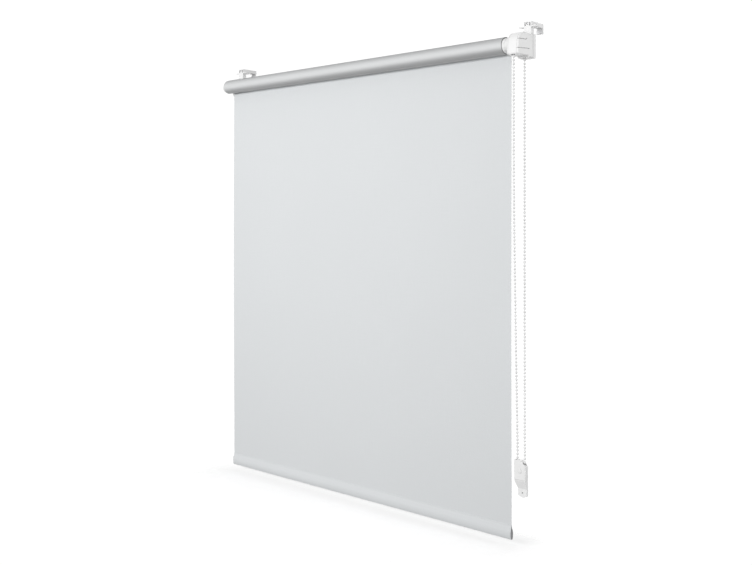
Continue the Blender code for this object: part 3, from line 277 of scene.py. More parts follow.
def weave(look):
    """The height of a plain weave of threads along X and Z."""
    place = look.node("ShaderNodeSeparateXYZ", {"Vector": look.coords})
    turns = math.pi / THREAD_PITCH
    across = look.math("SINE", look.math("MULTIPLY", place.outputs["X"], turns))
    along = look.math("SINE", look.math("MULTIPLY", place.outputs["Z"], turns))
    return look.math("MULTIPLY", across, along)


def cloth_look(name, colour, coated=False):
    """Woven cloth, matt or under a metallic coating."""
    if coated:
        look = Look(name, colour, 0.44, metallic=0.8)
        look.set("Specular Tint", (0.4, 0.4, 0.4, 1.0))
    else:
        look = Look(name, colour, 0.88, Sheen_Weight=0.08, Sheen_Roughness=0.5)
        look.set("Specular IOR Level", 0.25)
    slubs = look.noise(60, stretch=(0.4, 1, 9), detail=4, rough=0.6)
    warp = look.noise(60, stretch=(9, 1, 0.4), detail=4, rough=0.6)
    soft = look.noise(5, detail=2)
    yarns = look.math("ADD", look.math("MULTIPLY", slubs, 0.5), look.math("MULTIPLY", warp, 0.5))
    tone = look.mix(look.spread(yarns, 0, 1), shade(colour, 0.985), shade(colour, 1.015))
    tone = look.mix(look.spread(soft, 0, 0.5), tone, shade(colour, 0.985))
    look.paint("Base Color", tone)
    look.paint("Roughness", look.spread(yarns, look.roughness - 0.04, look.roughness + 0.05))
    fine = look.bump(weave(look), 0.05 * MM, strength=0.35)
    ripples = look.noise(14, stretch=(1, 1, 0.5), detail=2)
    look.paint("Normal", look.bump(ripples, 0.6 * MM, strength=0.5, under=fine))
    return look.material


def plastic_look(name, colour, roughness):
    """Moulded plastic with a fine grain and slight sink marks."""
    look = Look(name, colour, roughness)
    look.set("Coat Weight", 0.05)
    look.set("Coat Roughness", 0.3)
    cloud = look.noise(45, detail=3)
    specks = look.noise(900, detail=2)
    tone = look.mix(look.spread(cloud, 0, 1), shade(colour, 0.97), shade(colour, 1.02))
    look.paint("Base Color", tone)
    look.paint("Roughness", look.spread(cloud, roughness - 0.06, roughness + 0.08))
    fine = look.bump(specks, 0.02 * MM, strength=0.4)
    sink = look.noise(70, detail=1)
    look.paint("Normal", look.bump(sink, 0.12 * MM, strength=0.5, under=fine))
    return look.material


def metal_look(name, colour, roughness, scale, stretch=(1, 1, 1)):
    """Bare or plated metal with fine streaks."""
    look = Look(name, colour, roughness, metallic=1.0)
    streaks = look.noise(scale, stretch=stretch, detail=4, rough=0.6)
    cloud = look.noise(60, detail=2)
    tone = look.mix(look.spread(cloud, 0, 1), shade(colour, 0.9), shade(colour, 1.05))
    look.paint("Base Color", tone)
    look.paint("Roughness", look.spread(streaks, roughness - 0.08, roughness + 0.12))
    look.paint("Normal", look.bump(streaks, 0.02 * MM, strength=0.5))
    return look.material


def rubber_look(name, colour):
    """Matt rubber with open pores."""
    look = Look(name, colour, 0.8)
    pores = look.noise(420, detail=4, rough=0.7)
    cloud = look.noise(40, detail=2)
    tone = look.mix(look.spread(cloud, 0, 1), shade(colour, 0.92), shade(colour, 1.04))
    look.paint("Base Color", tone)
    look.paint("Roughness", look.spread(pores, 0.7, 0.9))
    look.paint("Normal", look.bump(pores, 0.15 * MM, strength=0.6))
    return look.material


def bead_look(name, colour):
    """Glossy plastic that lets a little light in."""
    look = Look(name, colour, 0.22)
    look.set("Coat Weight", 0.3)
    look.set("Coat Roughness", 0.12)
    look.set("Subsurface Weight", 0.1)
    look.set("Subsurface Radius", (0.001, 0.001, 0.001))
    cloud = look.noise(160, detail=2)
    tone = look.mix(look.spread(cloud, 0, 1), shade(colour, 0.93), shade(colour, 1.03))
    look.paint("Base Color", tone)
    look.paint("Roughness", look.spread(cloud, 0.18, 0.3))
    look.paint("Normal", look.bump(look.noise(500, detail=2), 0.03 * MM, strength=0.4))
    return look.material


LOOKS = {
    "cloth": cloth_look("woven_cloth", (0.655, 0.672, 0.682)),
    "silver_cloth": cloth_look("silver_coating", (0.58, 0.588, 0.592), coated=True),
    "white_plastic": plastic_look("white_plastic", (0.74, 0.74, 0.74), 0.34),
    "grey_plastic": plastic_look("grey_plastic", (0.19, 0.19, 0.195), 0.45),
    "chain": bead_look("bead_plastic", (0.72, 0.72, 0.72)),
    "rubber": rubber_look("pad_rubber", (0.74, 0.74, 0.75)),
    "aluminium": metal_look("aluminium", (0.72, 0.73, 0.74), 0.32, 900, stretch=(0.02, 1, 1)),
    "steel": metal_look("plated_steel", (0.74, 0.74, 0.75), 0.3, 300),
    # Near-black cloth on the cut ends of the roll and of the lead; it draws a dark line at the roll's end
    "cut_edge": cloth_look("cut_cloth_edge", (0.16, 0.16, 0.165)),
    "thread": cloth_look("sewing_thread", (0.74, 0.75, 0.76)),
}


# Meshes


def new_object(name, mesh, looks, body, smooth_angle=40):
    """A piece in the given looks that rides on a body, its edges sharp past an angle."""
    for look in looks:
        mesh.materials.append(LOOKS[look])
    mesh.shade_smooth()
    mesh.set_sharp_from_angle(angle=math.radians(smooth_angle))
    obj = bpy.data.objects.new(name, mesh)
    bpy.context.scene.collection.objects.link(obj)
    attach(obj, body)
    return obj


def mesh_from(bm):
    """The finished mesh, its faces pointing out."""
    bmesh.ops.recalc_face_normals(bm, faces=bm.faces)
    mesh = bpy.data.meshes.new("mesh")
    bm.to_mesh(mesh)
    bm.free()
    return mesh


def loft(rings, cap_first, cap_last, face_material=None):
    """A closed surface over rings of equally many points.

    Strips between the two halves of a ring close the ends. cap_first and cap_last are
    the ends' materials, and face_material gives that of any other face from its place
    round the ring.
    """
    bm = bmesh.new()
    rows = [[bm.verts.new(p) for p in ring] for ring in rings]
    count = len(rings[0])
    for one, two in zip(rows, rows[1:]):
        for k in range(count):
            after = (k + 1) % count
            face = bm.faces.new((one[k], one[after], two[after], two[k]))
            if face_material:
                face.material_index = face_material(k)
    for row, cap in ((rows[0], cap_first), (rows[-1], cap_last)):
        for k in range(count // 2 - 1):
            quad = (row[k], row[k + 1], row[count - 2 - k], row[count - 1 - k])
            face = bm.faces.new(quad)
            face.material_index = cap
    return mesh_from(bm)


def smooth_route(points, count):
    """Evenly spaced points on a smooth curve through the route's own points."""
    route = [Vector(p) for p in points]
    padded = [route[0] * 2 - route[1]] + route + [route[-1] * 2 - route[-2]]
    steps = 20
    fine = []
    for a, b, c, d in zip(padded, padded[1:], padded[2:], padded[3:]):
        for i in range(steps):
            t = i / steps
            bend = (2 * a - 5 * b + 4 * c - d) * t**2 + (3 * b - a - 3 * c + d) * t**3
            fine.append(0.5 * (2 * b + (c - a) * t + bend))
    fine.append(route[-1])
    return evenly(fine, count)


def evenly(fine, count):
    """Points at equal distances along a line of many short steps."""
    along = [0.0]
    for a, b in zip(fine, fine[1:]):
        along.append(along[-1] + (b - a).length)
    spaced = []
    place = 0
    for i in range(count):
        target = along[-1] * i / (count - 1)
        while place < len(along) - 2 and along[place + 1] < target:
            place += 1
        share = (target - along[place]) / (along[place + 1] - along[place])
        spaced.append(fine[place].lerp(fine[place + 1], share))
    return spaced


def route_length(points):
    return sum((b - a).length for a, b in zip(points, points[1:]))


def ring_round(centre, across, other, radius, sides):
    """Points on a circle that starts at across and turns towards other."""
    ring = []
    for k in range(sides):
        angle = math.tau * k / sides
        ring.append(centre + (across * math.cos(angle) + other * math.sin(angle)) * radius)
    return ring


def add_tube(bm, rings):
    """A tube over rings of points, with its ends closed."""
    rows = [[bm.verts.new(point) for point in ring] for ring in rings]
    for one, two in zip(rows, rows[1:]):
        for k in range(len(one)):
            after = (k + 1) % len(one)
            bm.faces.new((one[k], one[after], two[after], two[k]))
    bm.faces.new(rows[0])
    bm.faces.new(rows[-1])


# The bead chain

CHAIN_CORD_RADIUS = 0.45 * MM
CHAIN_CORD_SIDES = 6
BEAD_SIDES = 12

# Half a bead's section from its end to its middle, as shares of its radius along the
# chain and away from it
BEAD_SECTION = [(1.0, 0.0), (0.94, 0.34), (0.76, 0.65), (0.42, 0.91), (0.0, 1.0)]


def add_bead(bm, centre, along):
    """One round bead, closed by triangles at its two ends."""
    section = BEAD_SECTION + [(-x, share) for x, share in BEAD_SECTION[-2::-1]]
    across = along.orthogonal().normalized()
    other = along.cross(across)
    rows = []
    for x, share in section:
        middle = centre + along * (x * BEAD_RADIUS)
        sides = BEAD_SIDES if share else 1
        ring = ring_round(middle, across, other, share * BEAD_RADIUS, sides)
        rows.append([bm.verts.new(point) for point in ring])
    for one, two in zip(rows, rows[1:]):
        for k in range(BEAD_SIDES):
            corners = [one[k % len(one)], one[(k + 1) % len(one)]]
            corners += [two[(k + 1) % len(two)], two[k % len(two)]]
            bm.faces.new(list(dict.fromkeys(corners)))


def add_cord(bm, points):
    """The thin cord between the beads."""
    across = Vector((1, 0, 0))
    rings = []
    for i, point in enumerate(points):
        along = points[min(i + 1, len(points) - 1)] - points[max(i - 1, 0)]
        other = along.cross(across).normalized()
        ring = ring_round(point, across, other, CHAIN_CORD_RADIUS, CHAIN_CORD_SIDES)
        rings.append(ring)
    add_tube(bm, rings)


def chain_piece(name, node, points):
    """Beads at an even pitch along the points, on a thin cord."""
    length = route_length(points)
    count = round(length / BEAD_PITCH)
    centres = evenly(points, 2 * count + 1)
    bm = bmesh.new()
    for i in range(count):
        centre = centres[2 * i + 1]
        along = (centres[2 * i + 2] - centres[2 * i]).normalized()
        add_bead(bm, centre, along)
    add_cord(bm, centres)
    obj = new_object(name, mesh_from(bm), ["chain"], "frame", smooth_angle=60)
    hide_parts(node)
    return obj, length


def arc_points(centre, across, radius, start, end, steps):
    """Points on an upright arc, angles in degrees from the level way across."""
    angles = [math.radians(start + (end - start) * i / steps) for i in range(steps + 1)]
    up = Vector((0, 0, 1))
    return [centre + (across * math.cos(a) + up * math.sin(a)) * radius for a in angles]


def make_chain():
    """The arc over the wheel, both strands and the arc round the tensioner's pulley."""
    wheel = Vector((CHAIN_X, AXIS_Y, AXIS_Z))
    window_way = Vector((0, 1, 0))
    drop = Vector((0, 0, -HOUSING_RADIUS))
    over = arc_points(wheel, window_way, WHEEL_PITCH_RADIUS, start=180, end=0, steps=48)
    over.insert(0, over[0] + drop)
    over.append(over[-1] + drop + Vector((0, 0, -SPOUT_DEPTH)))
    chain_piece("beads_over_wheel", "chain_over_wheel", over)
    for name, node, route in (
        ("beads_front_strand", "chain_front_strand", FRONT_STRAND_ROUTE),
        ("beads_rear_strand", "chain_rear_strand", REAR_STRAND_ROUTE),
    ):
        places = [(CHAIN_X + x * MM, y * MM, z * MM) for x, y, z in route]
        points = smooth_route(places, count=160)
        strand, length = chain_piece(name, node, points)
    pulley = Vector((CHAIN_X, TENSIONER_Y, PULLEY_Z))
    rise = Vector((0, 0, TENSIONER_TOP - PULLEY_Z))
    chain_way = Vector((1, 0, 0))
    under = arc_points(pulley, chain_way, PULLEY_PITCH_RADIUS, start=180, end=360, steps=36)
    under.insert(0, under[0] + rise)
    under.append(under[-1] + rise)
    chain_piece("beads_under_pulley", "chain_under_pulley", under)


# The cloth on the roll

# The steps of one turn of the roll, then the further steps in which the outer end thins
# out onto the turn below, how far it sinks and how much thickness it keeps
ROLL_STEPS = 72
TAPER_STEPS = 6
TAPER_SINK = 0.8 * MM
TAPER_THICKNESS = 0.04 * MM

# The height of the wound cloth's wrinkles, and how near its edges they fade out
WRINKLE = 0.1 * MM
WRINKLE_FADE = 8 * MM

# The free end of cloth: how far round the roll it reaches, the room under it where it
# lies there, the rate at which it comes down onto the roll and that at which it thins
LEAD_REACH = math.radians(100)
LEAD_GAP = 0.0425 * MM
LEAD_LANDING = 2.2
LEAD_THINNING = 6


def stations(count):
    """Places across the cloth's width that split it into equal strips."""
    return [-EDGE + 2 * EDGE * i / count for i in range(count + 1)]


def roll_wrinkle(x, angle, turn):
    """How far the wound cloth stands off its true spiral."""
    place = Vector((x * 6.0, math.cos(angle) * 1.2, math.sin(angle) * 1.2 + turn * 3))
    height = WRINKLE * noise.noise(place) - WRINKLE / 2
    return height * min(1, (EDGE - abs(x)) / WRINKLE_FADE)


def make_roll():
    """The wound cloth as a fine spiral, its outer end thinned onto the turn below."""
    steps = round(WOUND_TURNS * ROLL_STEPS)
    rings = []
    for x in stations(90):
        outer, inner = [], []
        for i in range(-TAPER_STEPS, steps + 1):
            angle = math.tau * i / ROLL_STEPS
            radius = ROLL_RADIUS - TURN_PITCH * max(i, 0) / ROLL_STEPS
            thick = CLOTH
            if i < 0:
                share = -i / TAPER_STEPS
                radius -= TAPER_SINK * share
                thick = CLOTH * (1 - share) + TAPER_THICKNESS
            radius += roll_wrinkle(x, angle, i / ROLL_STEPS)
            way = Vector((0, math.cos(angle), math.sin(angle)))
            base = Vector((x, AXIS_Y, AXIS_Z))
            outer.append(base + way * radius)
            inner.append(base + way * (radius - thick))
        rings.append(outer + inner[::-1])
    mesh = loft(rings, cap_first=1, cap_last=1)
    roll = new_object("cloth_roll", mesh, ["silver_cloth", "cut_edge"], "roller")
    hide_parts("wound_cloth")


def make_lead():
    """The last of the cloth, from where it hangs free up to the top of the roll."""
    rings = []
    steps = 30
    free = SHEET_Y - CLOTH / 2 - AXIS_Y
    lying = ROLL_RADIUS + LEAD_GAP
    for x in stations(60):
        outer, inner = [], []
        for i in range(steps + 1):
            share = i / steps
            angle = LEAD_REACH * share
            low = free + (lying - free) * min(1, share * LEAD_LANDING)
            thick = CLOTH * min(1, (1 - share) * LEAD_THINNING + 0.1)
            way = Vector((0, math.cos(angle), math.sin(angle)))
            base = Vector((x, AXIS_Y, AXIS_Z))
            inner.append(base + way * low)
            outer.append(base + way * (low + thick))
        rings.append(outer + inner[::-1])

    def side(k):
        return 0 if k < steps + 1 else 1

    mesh = loft(rings, cap_first=2, cap_last=2, face_material=side)
    new_object("cloth_lead", mesh, ["silver_cloth", "cloth", "cut_edge"], "frame")


# The hanging cloth

# The share of the cloth's drop that waves, above the part that the hem bar holds flat
WAVY_SHARE = 0.9

# Two even waves, each as its height, radians a metre of width, start, and radians that
# it shifts from top to hem, then the height of the uneven ones
EVEN_WAVES = ((0.5 * MM, 9.0, 0.6, 0.0), (0.3 * MM, 21.0, 0.0, 2.0))
UNEVEN_WAVE = 0.5 * MM

# How far the cloth's side edges curl to the room, and over what width it dies out
CURL = 0.9 * MM
CURL_WIDTH = 7 * MM

# How far the cloth reaches down into the hem pocket
LAP = 1.5 * MM


def sheet_offset(x, z):
    """How far the hanging cloth stands off its plane, towards the window."""
    down = (AXIS_Z - z) / (AXIS_Z - HEM_TOP)
    free = math.sin(math.pi * min(1.0, max(0.0, down / WAVY_SHARE))) ** 0.7
    wave = 0.0
    for height, rate, start, shift in EVEN_WAVES:
        wave += height * math.sin(x * rate + start + shift * down)
    wave += UNEVEN_WAVE * noise.noise(Vector((x * 3.0, z * 2.0, 4.2)))
    curl = math.exp(-(EDGE - abs(x)) / CURL_WIDTH)
    return free * (wave - CURL * curl)


def make_sheet():
    """The cloth from the roller's height into the hem, silver towards the window."""
    low = HEM_TOP - LAP
    drop = AXIS_Z - low
    columns = stations(96)
    rows = 100
    rings = []
    for i in range(rows + 1):
        z = AXIS_Z - drop * i / rows
        front = [Vector((x, SHEET_Y - CLOTH / 2 + sheet_offset(x, z), z)) for x in columns]
        back = [Vector((x, SHEET_Y + CLOTH / 2 + sheet_offset(x, z), z)) for x in columns]
        rings.append(front + back[::-1])
    count = len(columns)

    def side(k):
        return 1 if count <= k < 2 * count - 1 else 0

    mesh = loft(rings, cap_first=0, cap_last=0, face_material=side)
    cloth = new_object("cloth_sheet", mesh, ["cloth", "silver_cloth"], "frame")
    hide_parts("hanging_cloth")
    cloth.visible_glossy = False
    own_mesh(cloth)


# The hem

# The pocket is a strip of cloth folded up round the bar. Its section is in millimetres,
# as (y from the hanging cloth's plane, height over the pocket's foot): half the
# strip's thickness, its middle's distance from the bar, the lift that keeps it inside
# the model's box, and its room side above the bar
STRIP_HALF = 0.19
STRIP_FROM_BAR = 0.5
STRIP_LIFT = 0.01
OVER_BAR = [
    (-0.45, 25.0),
    (-0.45, 24.2),
    (-0.47, 23.4),
    (-0.62, 22.4),
    (-0.9, 21.2),
    (-1.22, 19.9),
    (-1.5, 18.7),
]

# Heights in millimetres between which the strip puckers and over which the seam keeps
# it from sagging, how far it does each, then the radians a millimetre at which the
# puckers repeat and at which their spacing wanders
PUCKER_FOOT = 18
PUCKER_TOP = 24
SEWN_FOOT = 22.5
PUCKER = 0.1
SAG = 0.06
PUCKER_RATE = 0.9
WANDER_RATE = 0.13


def hem_path():
    """The middle of the pocket's strip in millimetres, front to back."""
    edge = BAR_EDGE_RADIUS / MM
    tip = edge + STRIP_FROM_BAR
    low = BAR_LIFT / MM + edge
    high = (BAR_LIFT + BAR_HEIGHT) / MM - edge
    belly = BAR_THICKNESS / 2 / MM - edge
    front = list(OVER_BAR)
    side_steps = 16
    for i in range(side_steps, -1, -1):
        share = i / side_steps
        out = tip + belly * (1 - (2 * share - 1) ** 2)
        front.append((-out, low + (high - low) * share))
    bottom = []
    fold_steps = 10
    for k in range(1, fold_steps):
        angle = math.pi + math.pi * k / fold_steps
        bottom.append((tip * math.cos(angle), low + tip * math.sin(angle)))
    return front + bottom + [(-y, h) for y, h in front[::-1]]


def pocket_loop(x, path):
    """The pocket's section at x, as one strip folded under the bar."""
    outer, inner = [], []
    for i, (y, h) in enumerate(path):
        y0, h0 = path[max(i - 1, 0)]
        y1, h1 = path[min(i + 1, len(path) - 1)]
        along = Vector((y1 - y0, h1 - h0)).normalized()
        out = Vector((-along.y, along.x))
        shift = 0.0
        if PUCKER_FOOT < h < PUCKER_TOP:
            share = (h - PUCKER_FOOT) / (PUCKER_TOP - PUCKER_FOOT)
            wander = 0.7 * math.sin(x / MM * WANDER_RATE)
            pucker = PUCKER * math.sin(x / MM * PUCKER_RATE + wander)
            shift += pucker * math.sin(math.pi * share)
        if h < SEWN_FOOT:
            shift += SAG * noise.noise(Vector((x * 14, h * 0.12, 7.1 + (y > 0))))
        centre = Vector((y, h)) + out * shift
        outer.append(centre + out * STRIP_HALF)
        inner.append(centre - out * STRIP_HALF)
    foot = HEM_BOTTOM + STRIP_LIFT * MM
    return [Vector((x, SHEET_Y + p.x * MM, foot + p.y * MM)) for p in outer + inner[::-1]]


# The seam's stitches: their length and pitch, the first one's distance from the cloth's
# edge, their height over the hem's foot with its unevenness, their distance from the
# hanging cloth's plane, and how much each of a stitch's sections rises over the last
STITCH_LENGTH = 2.3 * MM
STITCH_PITCH = 3.2 * MM
STITCH_MARGIN = 3 * MM
STITCH_HEIGHT = 23.9 * MM
STITCH_UNEVENNESS = 0.06 * MM
STITCH_OFFSET = 0.66 * MM
STITCH_SLANT = 0.05 * MM

# A stitch's sections: their places as shares of its length from the middle, then the
# thread's radius and how far it stands out there, in millimetres
STITCH_SECTIONS = [
    (-0.5, 0.04, -0.1),
    (-0.4, 0.12, -0.02),
    (-0.15, 0.16, 0.05),
    (0.15, 0.16, 0.05),
    (0.4, 0.12, -0.02),
    (0.5, 0.04, -0.1),
]


def add_stitch(bm, x, y, z, way):
    """One stitch, a short thread that dips into the cloth at its ends."""
    window_way = Vector((0, 1, 0))
    up = Vector((0, 0, 1))
    rings = []
    for step, (share, radius, rise) in enumerate(STITCH_SECTIONS):
        centre = Vector((x + share * STITCH_LENGTH, y + way * rise * MM, z + STITCH_SLANT * step))
        rings.append(ring_round(centre, window_way, up, radius * MM, sides=5))
    add_tube(bm, rings)


def make_hem():
    """The pocket, and the stitches of its seam on both sides."""
    path = hem_path()
    rings = [pocket_loop(x, path) for x in stations(260)]
    mesh = loft(rings, cap_first=0, cap_last=0)
    pocket = new_object("hem_sleeve", mesh, ["cloth"], "hem", smooth_angle=60)
    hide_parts("hem_pocket")
    bm = bmesh.new()
    count = int(2 * (EDGE - STITCH_MARGIN) / STITCH_PITCH)
    chance = random.Random(5)
    for way in (-1, 1):
        for i in range(count):
            x = -EDGE + STITCH_MARGIN + STITCH_PITCH * (i + 0.5)
            uneven = chance.uniform(-STITCH_UNEVENNESS, STITCH_UNEVENNESS)
            z = HEM_BOTTOM + STITCH_HEIGHT + uneven
            add_stitch(bm, x, SHEET_Y + way * STITCH_OFFSET, z, way)
    new_object("hem_stitches", mesh_from(bm), ["thread"], "hem", smooth_angle=60)


# The spring behind the idle pin

SPRING_START = -375.3 * MM
SPRING_RADIUS = 4.1 * MM
SPRING_WIRE_RADIUS = 0.4 * MM
SPRING_TURNS = 8


def make_idle_spring():
    """A coil between the pin's collar and the plug, riding on the pin."""
    per_turn = 24
    count = SPRING_TURNS * per_turn
    reach = SPRING_END - SPRING_START
    rings = []
    for i in range(count + 1):
        angle = math.tau * i / per_turn
        out = Vector((0, math.cos(angle), math.sin(angle)))
        round_way = Vector((0, -math.sin(angle), math.cos(angle))) * math.tau * SPRING_RADIUS
        along = (round_way + Vector((reach / SPRING_TURNS, 0, 0))).normalized()
        centre = Vector((SPRING_START + reach * i / count, AXIS_Y, AXIS_Z)) + out * SPRING_RADIUS
        ring = ring_round(centre, out, along.cross(out), SPRING_WIRE_RADIUS, sides=8)
        rings.append(ring)
    mesh = loft(rings, cap_first=0, cap_last=0)
    spring = new_object("spring_coil", mesh, ["steel"], "idle_pin", smooth_angle=60)
    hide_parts("idle_spring")
    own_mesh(spring)


# The hard parts

# Widths of their rounded edges in millimetres
SOFT_EDGES = {
    "drive_housing": 0.7,
    "drive_cover": 0.35,
    "right_bracket": 0.45,
    "left_bracket": 0.5,
    "right_clamp_body": 0.35,
    "left_clamp_body": 0.35,
    "right_rear_jaw": 0.35,
    "left_rear_jaw": 0.35,
    "tensioner_inner_shell": 0.6,
    "tensioner_outer_shell": 0.7,
    "drive_plug": 0.35,
    "idle_plug": 0.35,
    "hem_end_cap_left": 0.5,
    "hem_end_cap_right": 0.5,
    "right_front_pad": 0.2,
    "left_front_pad": 0.2,
    "right_jaw_pad": 0.2,
    "left_jaw_pad": 0.2,
    "right_clamp_nut": 0.2,
    "left_clamp_nut": 0.2,
    "right_clamp_screw": 0.15,
    "left_clamp_screw": 0.15,
}


def soften(obj, width):
    """Rounds a CAD node's hard edges without touching its mesh."""
    weld = obj.modifiers.new("weld", "WELD")
    weld.merge_threshold = 0.005 * MM
    flat = obj.modifiers.new("flat", "DECIMATE")
    flat.decimate_type = "DISSOLVE"
    flat.angle_limit = math.radians(0.5)
    bevel = obj.modifiers.new("bevel", "BEVEL")
    bevel.width = width * MM
    bevel.segments = 3
    bevel.limit_method = "ANGLE"
    bevel.angle_limit = math.radians(35)
    bevel.harden_normals = True
    bevel.use_clamp_overlap = True


def dress_nodes():
    """The record's materials on every CAD node, and round edges on those that show."""
    for part in frame["record"]["subparts"]:
        obj = nodes[part["node"]]
        obj.data.materials.clear()
        obj.data.materials.append(LOOKS[part["material_slot"]])
        if part["node"] in SOFT_EDGES and not obj.hide_render:
            soften(obj, SOFT_EDGES[part["node"]])


# The studio

# Brightness of the surroundings from straight down, 0, over the horizon, 0.5, to
# straight up, 1, as the matt surfaces and as the reflections see them
FILL_STOPS = ((0.0, 0.34), (0.45, 0.46), (0.55, 0.5), (1.0, 0.86))
FILL = 0.86
SHINE_STOPS = (
    (0.0, 0.26),
    (0.14, 0.3),
    (0.2, 0.44),
    (0.28, 0.7),
    (0.36, 0.94),
    (0.42, 1.02),
    (0.58, 1.0),
    (0.72, 0.92),
    (0.82, 0.82),
    (0.88, 0.6),
    (1.0, 0.5),
)
SHINE = 1.45

# How bright the camera sees the empty surroundings
CAMERA_WHITE = 1.05

# Each light's place, target, width and height, and power in watts
KEY_LIGHT = ((-0.2, -2.1, 0.05), (0, 0, -0.15), (1.4, 0.5), 34)
SIDE_LIGHT = ((3.4, 0.1, 0.3), (0.4, 0, -0.3), (0.8, 1.2), 30)
BACK_LIGHT = ((-0.6, 2.3, 0.3), (0, 0, -0.4), (1.6, 1.0), 30)

# The two low lights share a place in front, at the chain's end, and lift the undersides
# of the hard parts. The stronger is for the parts at the top and the hem's caps, the
# weaker for the pieces that hang below the drive
LOW_LIGHT = ((1.9, -1.1, -1.0), (0.4, 0, -0.1), (0.8, 0.8))
UPPER_LIFT = 10
LOWER_LIFT = 5.5
HANGING_PIECES = {
    "beads_front_strand",
    "beads_rear_strand",
    "beads_under_pulley",
    "tensioner_inner_shell",
    "tensioner_outer_shell",
    "tensioner_axle",
    "tensioner_pulley",
}

# The floor's half width, level and glow, then how far from the cloth its painted shadow starts
# and ends to fade, and how much faster it fades beyond the cloth's edges and behind it
FLOOR_HALF = 1.6
FLOOR_Z = HEM_BOTTOM - 13 * MM
FLOOR_GLOW = 0.23
SHADOW_FADE_START = 0.02
SHADOW_FADE_END = 0.27
SHADOW_SIDE_FADE = 3.0
SHADOW_BACK_FADE = 3.0


def area_light(name, place, target, size, power):
    """A rectangular light that no reflection shows."""
    data = bpy.data.lights.new(name, "AREA")
    data.shape = "RECTANGLE"
    data.size, data.size_y = size
    data.energy = power
    light = bpy.data.objects.new(name, data)
    light.location = place
    way = Vector(target) - Vector(place)
    light.rotation_euler = way.to_track_quat("-Z", "Y").to_euler()
    light.visible_glossy = False
    bpy.context.scene.collection.objects.link(light)
    return light


def elevation_ramp(tree, height, stops, strength):
    """A background whose brightness follows the height of the direction seen."""
    ramp = tree.nodes.new("ShaderNodeValToRGB")
    ramp.color_ramp.elements[0].position = stops[0][0]
    ramp.color_ramp.elements[1].position = stops[-1][0]
    for position, _ in stops[1:-1]:
        ramp.color_ramp.elements.new(position)
    for element, (_, value) in zip(ramp.color_ramp.elements, stops):
        element.color = (value, value, value, 1.0)
    glow = tree.nodes.new("ShaderNodeBackground")
    glow.inputs["Strength"].default_value = strength
    tree.links.new(height, ramp.inputs["Fac"])
    tree.links.new(ramp.outputs["Color"], glow.inputs["Color"])
    return glow.outputs[0]


def make_world():
    """White to the camera, a banded studio in reflections and a soft fill elsewhere."""
    world = bpy.data.worlds.new("studio")
    world.use_nodes = True
    tree = world.node_tree
    tree.nodes.clear()
    links = tree.links
    output = tree.nodes.new("ShaderNodeOutputWorld")
    path = tree.nodes.new("ShaderNodeLightPath")
    coords = tree.nodes.new("ShaderNodeTexCoord")
    split = tree.nodes.new("ShaderNodeSeparateXYZ")
    height = tree.nodes.new("ShaderNodeMapRange")
    height.inputs["From Min"].default_value = -1.0
    links.new(coords.outputs["Generated"], split.inputs[0])
    links.new(split.outputs["Z"], height.inputs["Value"])
    white = tree.nodes.new("ShaderNodeBackground")
    white.inputs["Color"].default_value = (1, 1, 1, 1)
    white.inputs["Strength"].default_value = CAMERA_WHITE
    fill = elevation_ramp(tree, height.outputs[0], FILL_STOPS, FILL)
    shine = elevation_ramp(tree, height.outputs[0], SHINE_STOPS, SHINE)
    by_gloss = tree.nodes.new("ShaderNodeMixShader")
    links.new(path.outputs["Is Glossy Ray"], by_gloss.inputs["Fac"])
    links.new(fill, by_gloss.inputs[1])
    links.new(shine, by_gloss.inputs[2])
    by_camera = tree.nodes.new("ShaderNodeMixShader")
    links.new(path.outputs["Is Camera Ray"], by_camera.inputs["Fac"])
    links.new(by_gloss.outputs[0], by_camera.inputs[1])
    links.new(white.outputs[0], by_camera.inputs[2])
    links.new(by_camera.outputs[0], output.inputs["Surface"])
    bpy.context.scene.world = world


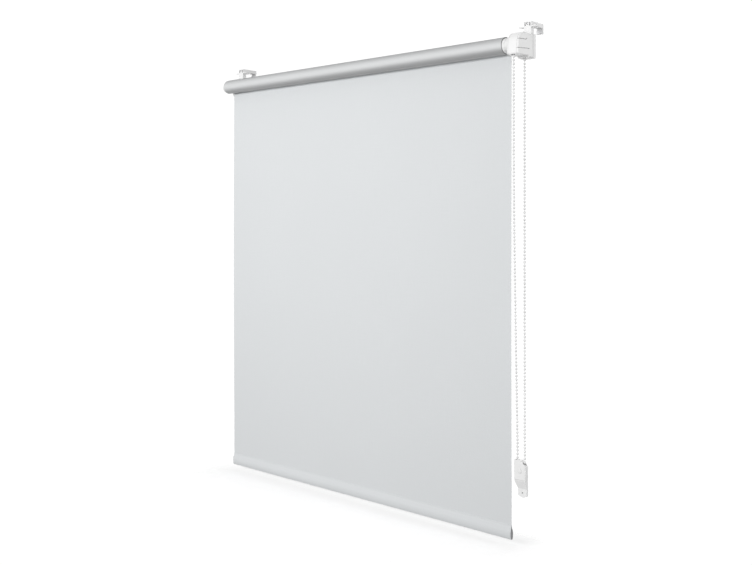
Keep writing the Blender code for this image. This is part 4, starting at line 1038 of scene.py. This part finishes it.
def make_floor():
    """A pale patch that takes the shadow and fades into the white round it, its fade a painted shadow round the
    cloth's foot.
    """
    bm = bmesh.new()
    corners = []
    for x, y in ((-1, -1), (1, -1), (1, 1), (-1, 1)):
        corners.append(bm.verts.new((x * FLOOR_HALF, y * FLOOR_HALF, FLOOR_Z)))
    bm.faces.new(corners)
    mesh = mesh_from(bm)
    look = Look("pale_floor", (0.8, 0.8, 0.8), 0.9)
    look.set("Specular IOR Level", 0.0)
    look.set("Emission Color", (1, 1, 1, 1))
    look.set("Emission Strength", FLOOR_GLOW)
    tone = look.mix(look.spread(look.noise(2.0), 0, 1), (0.79, 0.79, 0.79), (0.81, 0.81, 0.81))
    look.paint("Base Color", tone)
    # Painted shadow: the patch is opaque at the cloth's foot and fades out with distance from it
    place = look.node("ShaderNodeSeparateXYZ", {"Vector": look.coords})
    beyond = look.math("SUBTRACT", look.math("ABSOLUTE", place.outputs["X"]), EDGE)
    aside = look.math("MULTIPLY", look.math("MAXIMUM", beyond), SHADOW_SIDE_FADE)
    behind = look.math("SUBTRACT", place.outputs["Y"], SHEET_Y)
    before = look.math("MULTIPLY", behind, -1.0)
    across = look.math("MAXIMUM", before, look.math("MULTIPLY", behind, SHADOW_BACK_FADE))
    squares = look.math("ADD", look.math("POWER", aside, 2), look.math("POWER", across, 2))
    reach = look.math("SQRT", squares)
    look.paint("Alpha", look.spread(reach, 1.0, 0.0, SHADOW_FADE_START, SHADOW_FADE_END))
    mesh.materials.append(look.material)
    floor = bpy.data.objects.new("floor", mesh)
    floor.visible_diffuse = False
    floor.visible_glossy = False
    bpy.context.scene.collection.objects.link(floor)


def shine_only_on(light, pieces):
    """Keeps a light off everything but the given pieces."""
    group = bpy.data.collections.new(light.name + "_pieces")
    for obj in pieces:
        group.objects.link(obj)
    light.light_linking.receiver_collection = group


def make_studio():
    """Surroundings, lights and floor. The back and low lights leave the floor out."""
    make_world()
    area_light("key", *KEY_LIGHT)
    area_light("side", *SIDE_LIGHT)
    back = area_light("back", *BACK_LIGHT)
    upper = area_light("upper_lift", *LOW_LIGHT, UPPER_LIFT)
    lower = area_light("lower_lift", *LOW_LIGHT, LOWER_LIFT)
    meshes = [obj for obj in bpy.context.scene.objects if obj.type == "MESH"]
    shown = [obj for obj in meshes if not obj.hide_render]
    soft = {LOOKS[name] for name in ("cloth", "silver_cloth", "thread")}
    hard = [obj for obj in shown if not soft & set(obj.data.materials)]
    shine_only_on(back, shown)
    shine_only_on(upper, [obj for obj in hard if obj.name not in HANGING_PIECES])
    shine_only_on(lower, [obj for obj in hard if obj.name in HANGING_PIECES])
    make_floor()
    bpy.context.scene.view_settings.view_transform = "Standard"


make_camera()
make_chain()
make_roll()
make_lead()
make_hem()
make_sheet()
make_idle_spring()
dress_nodes()
make_studio()
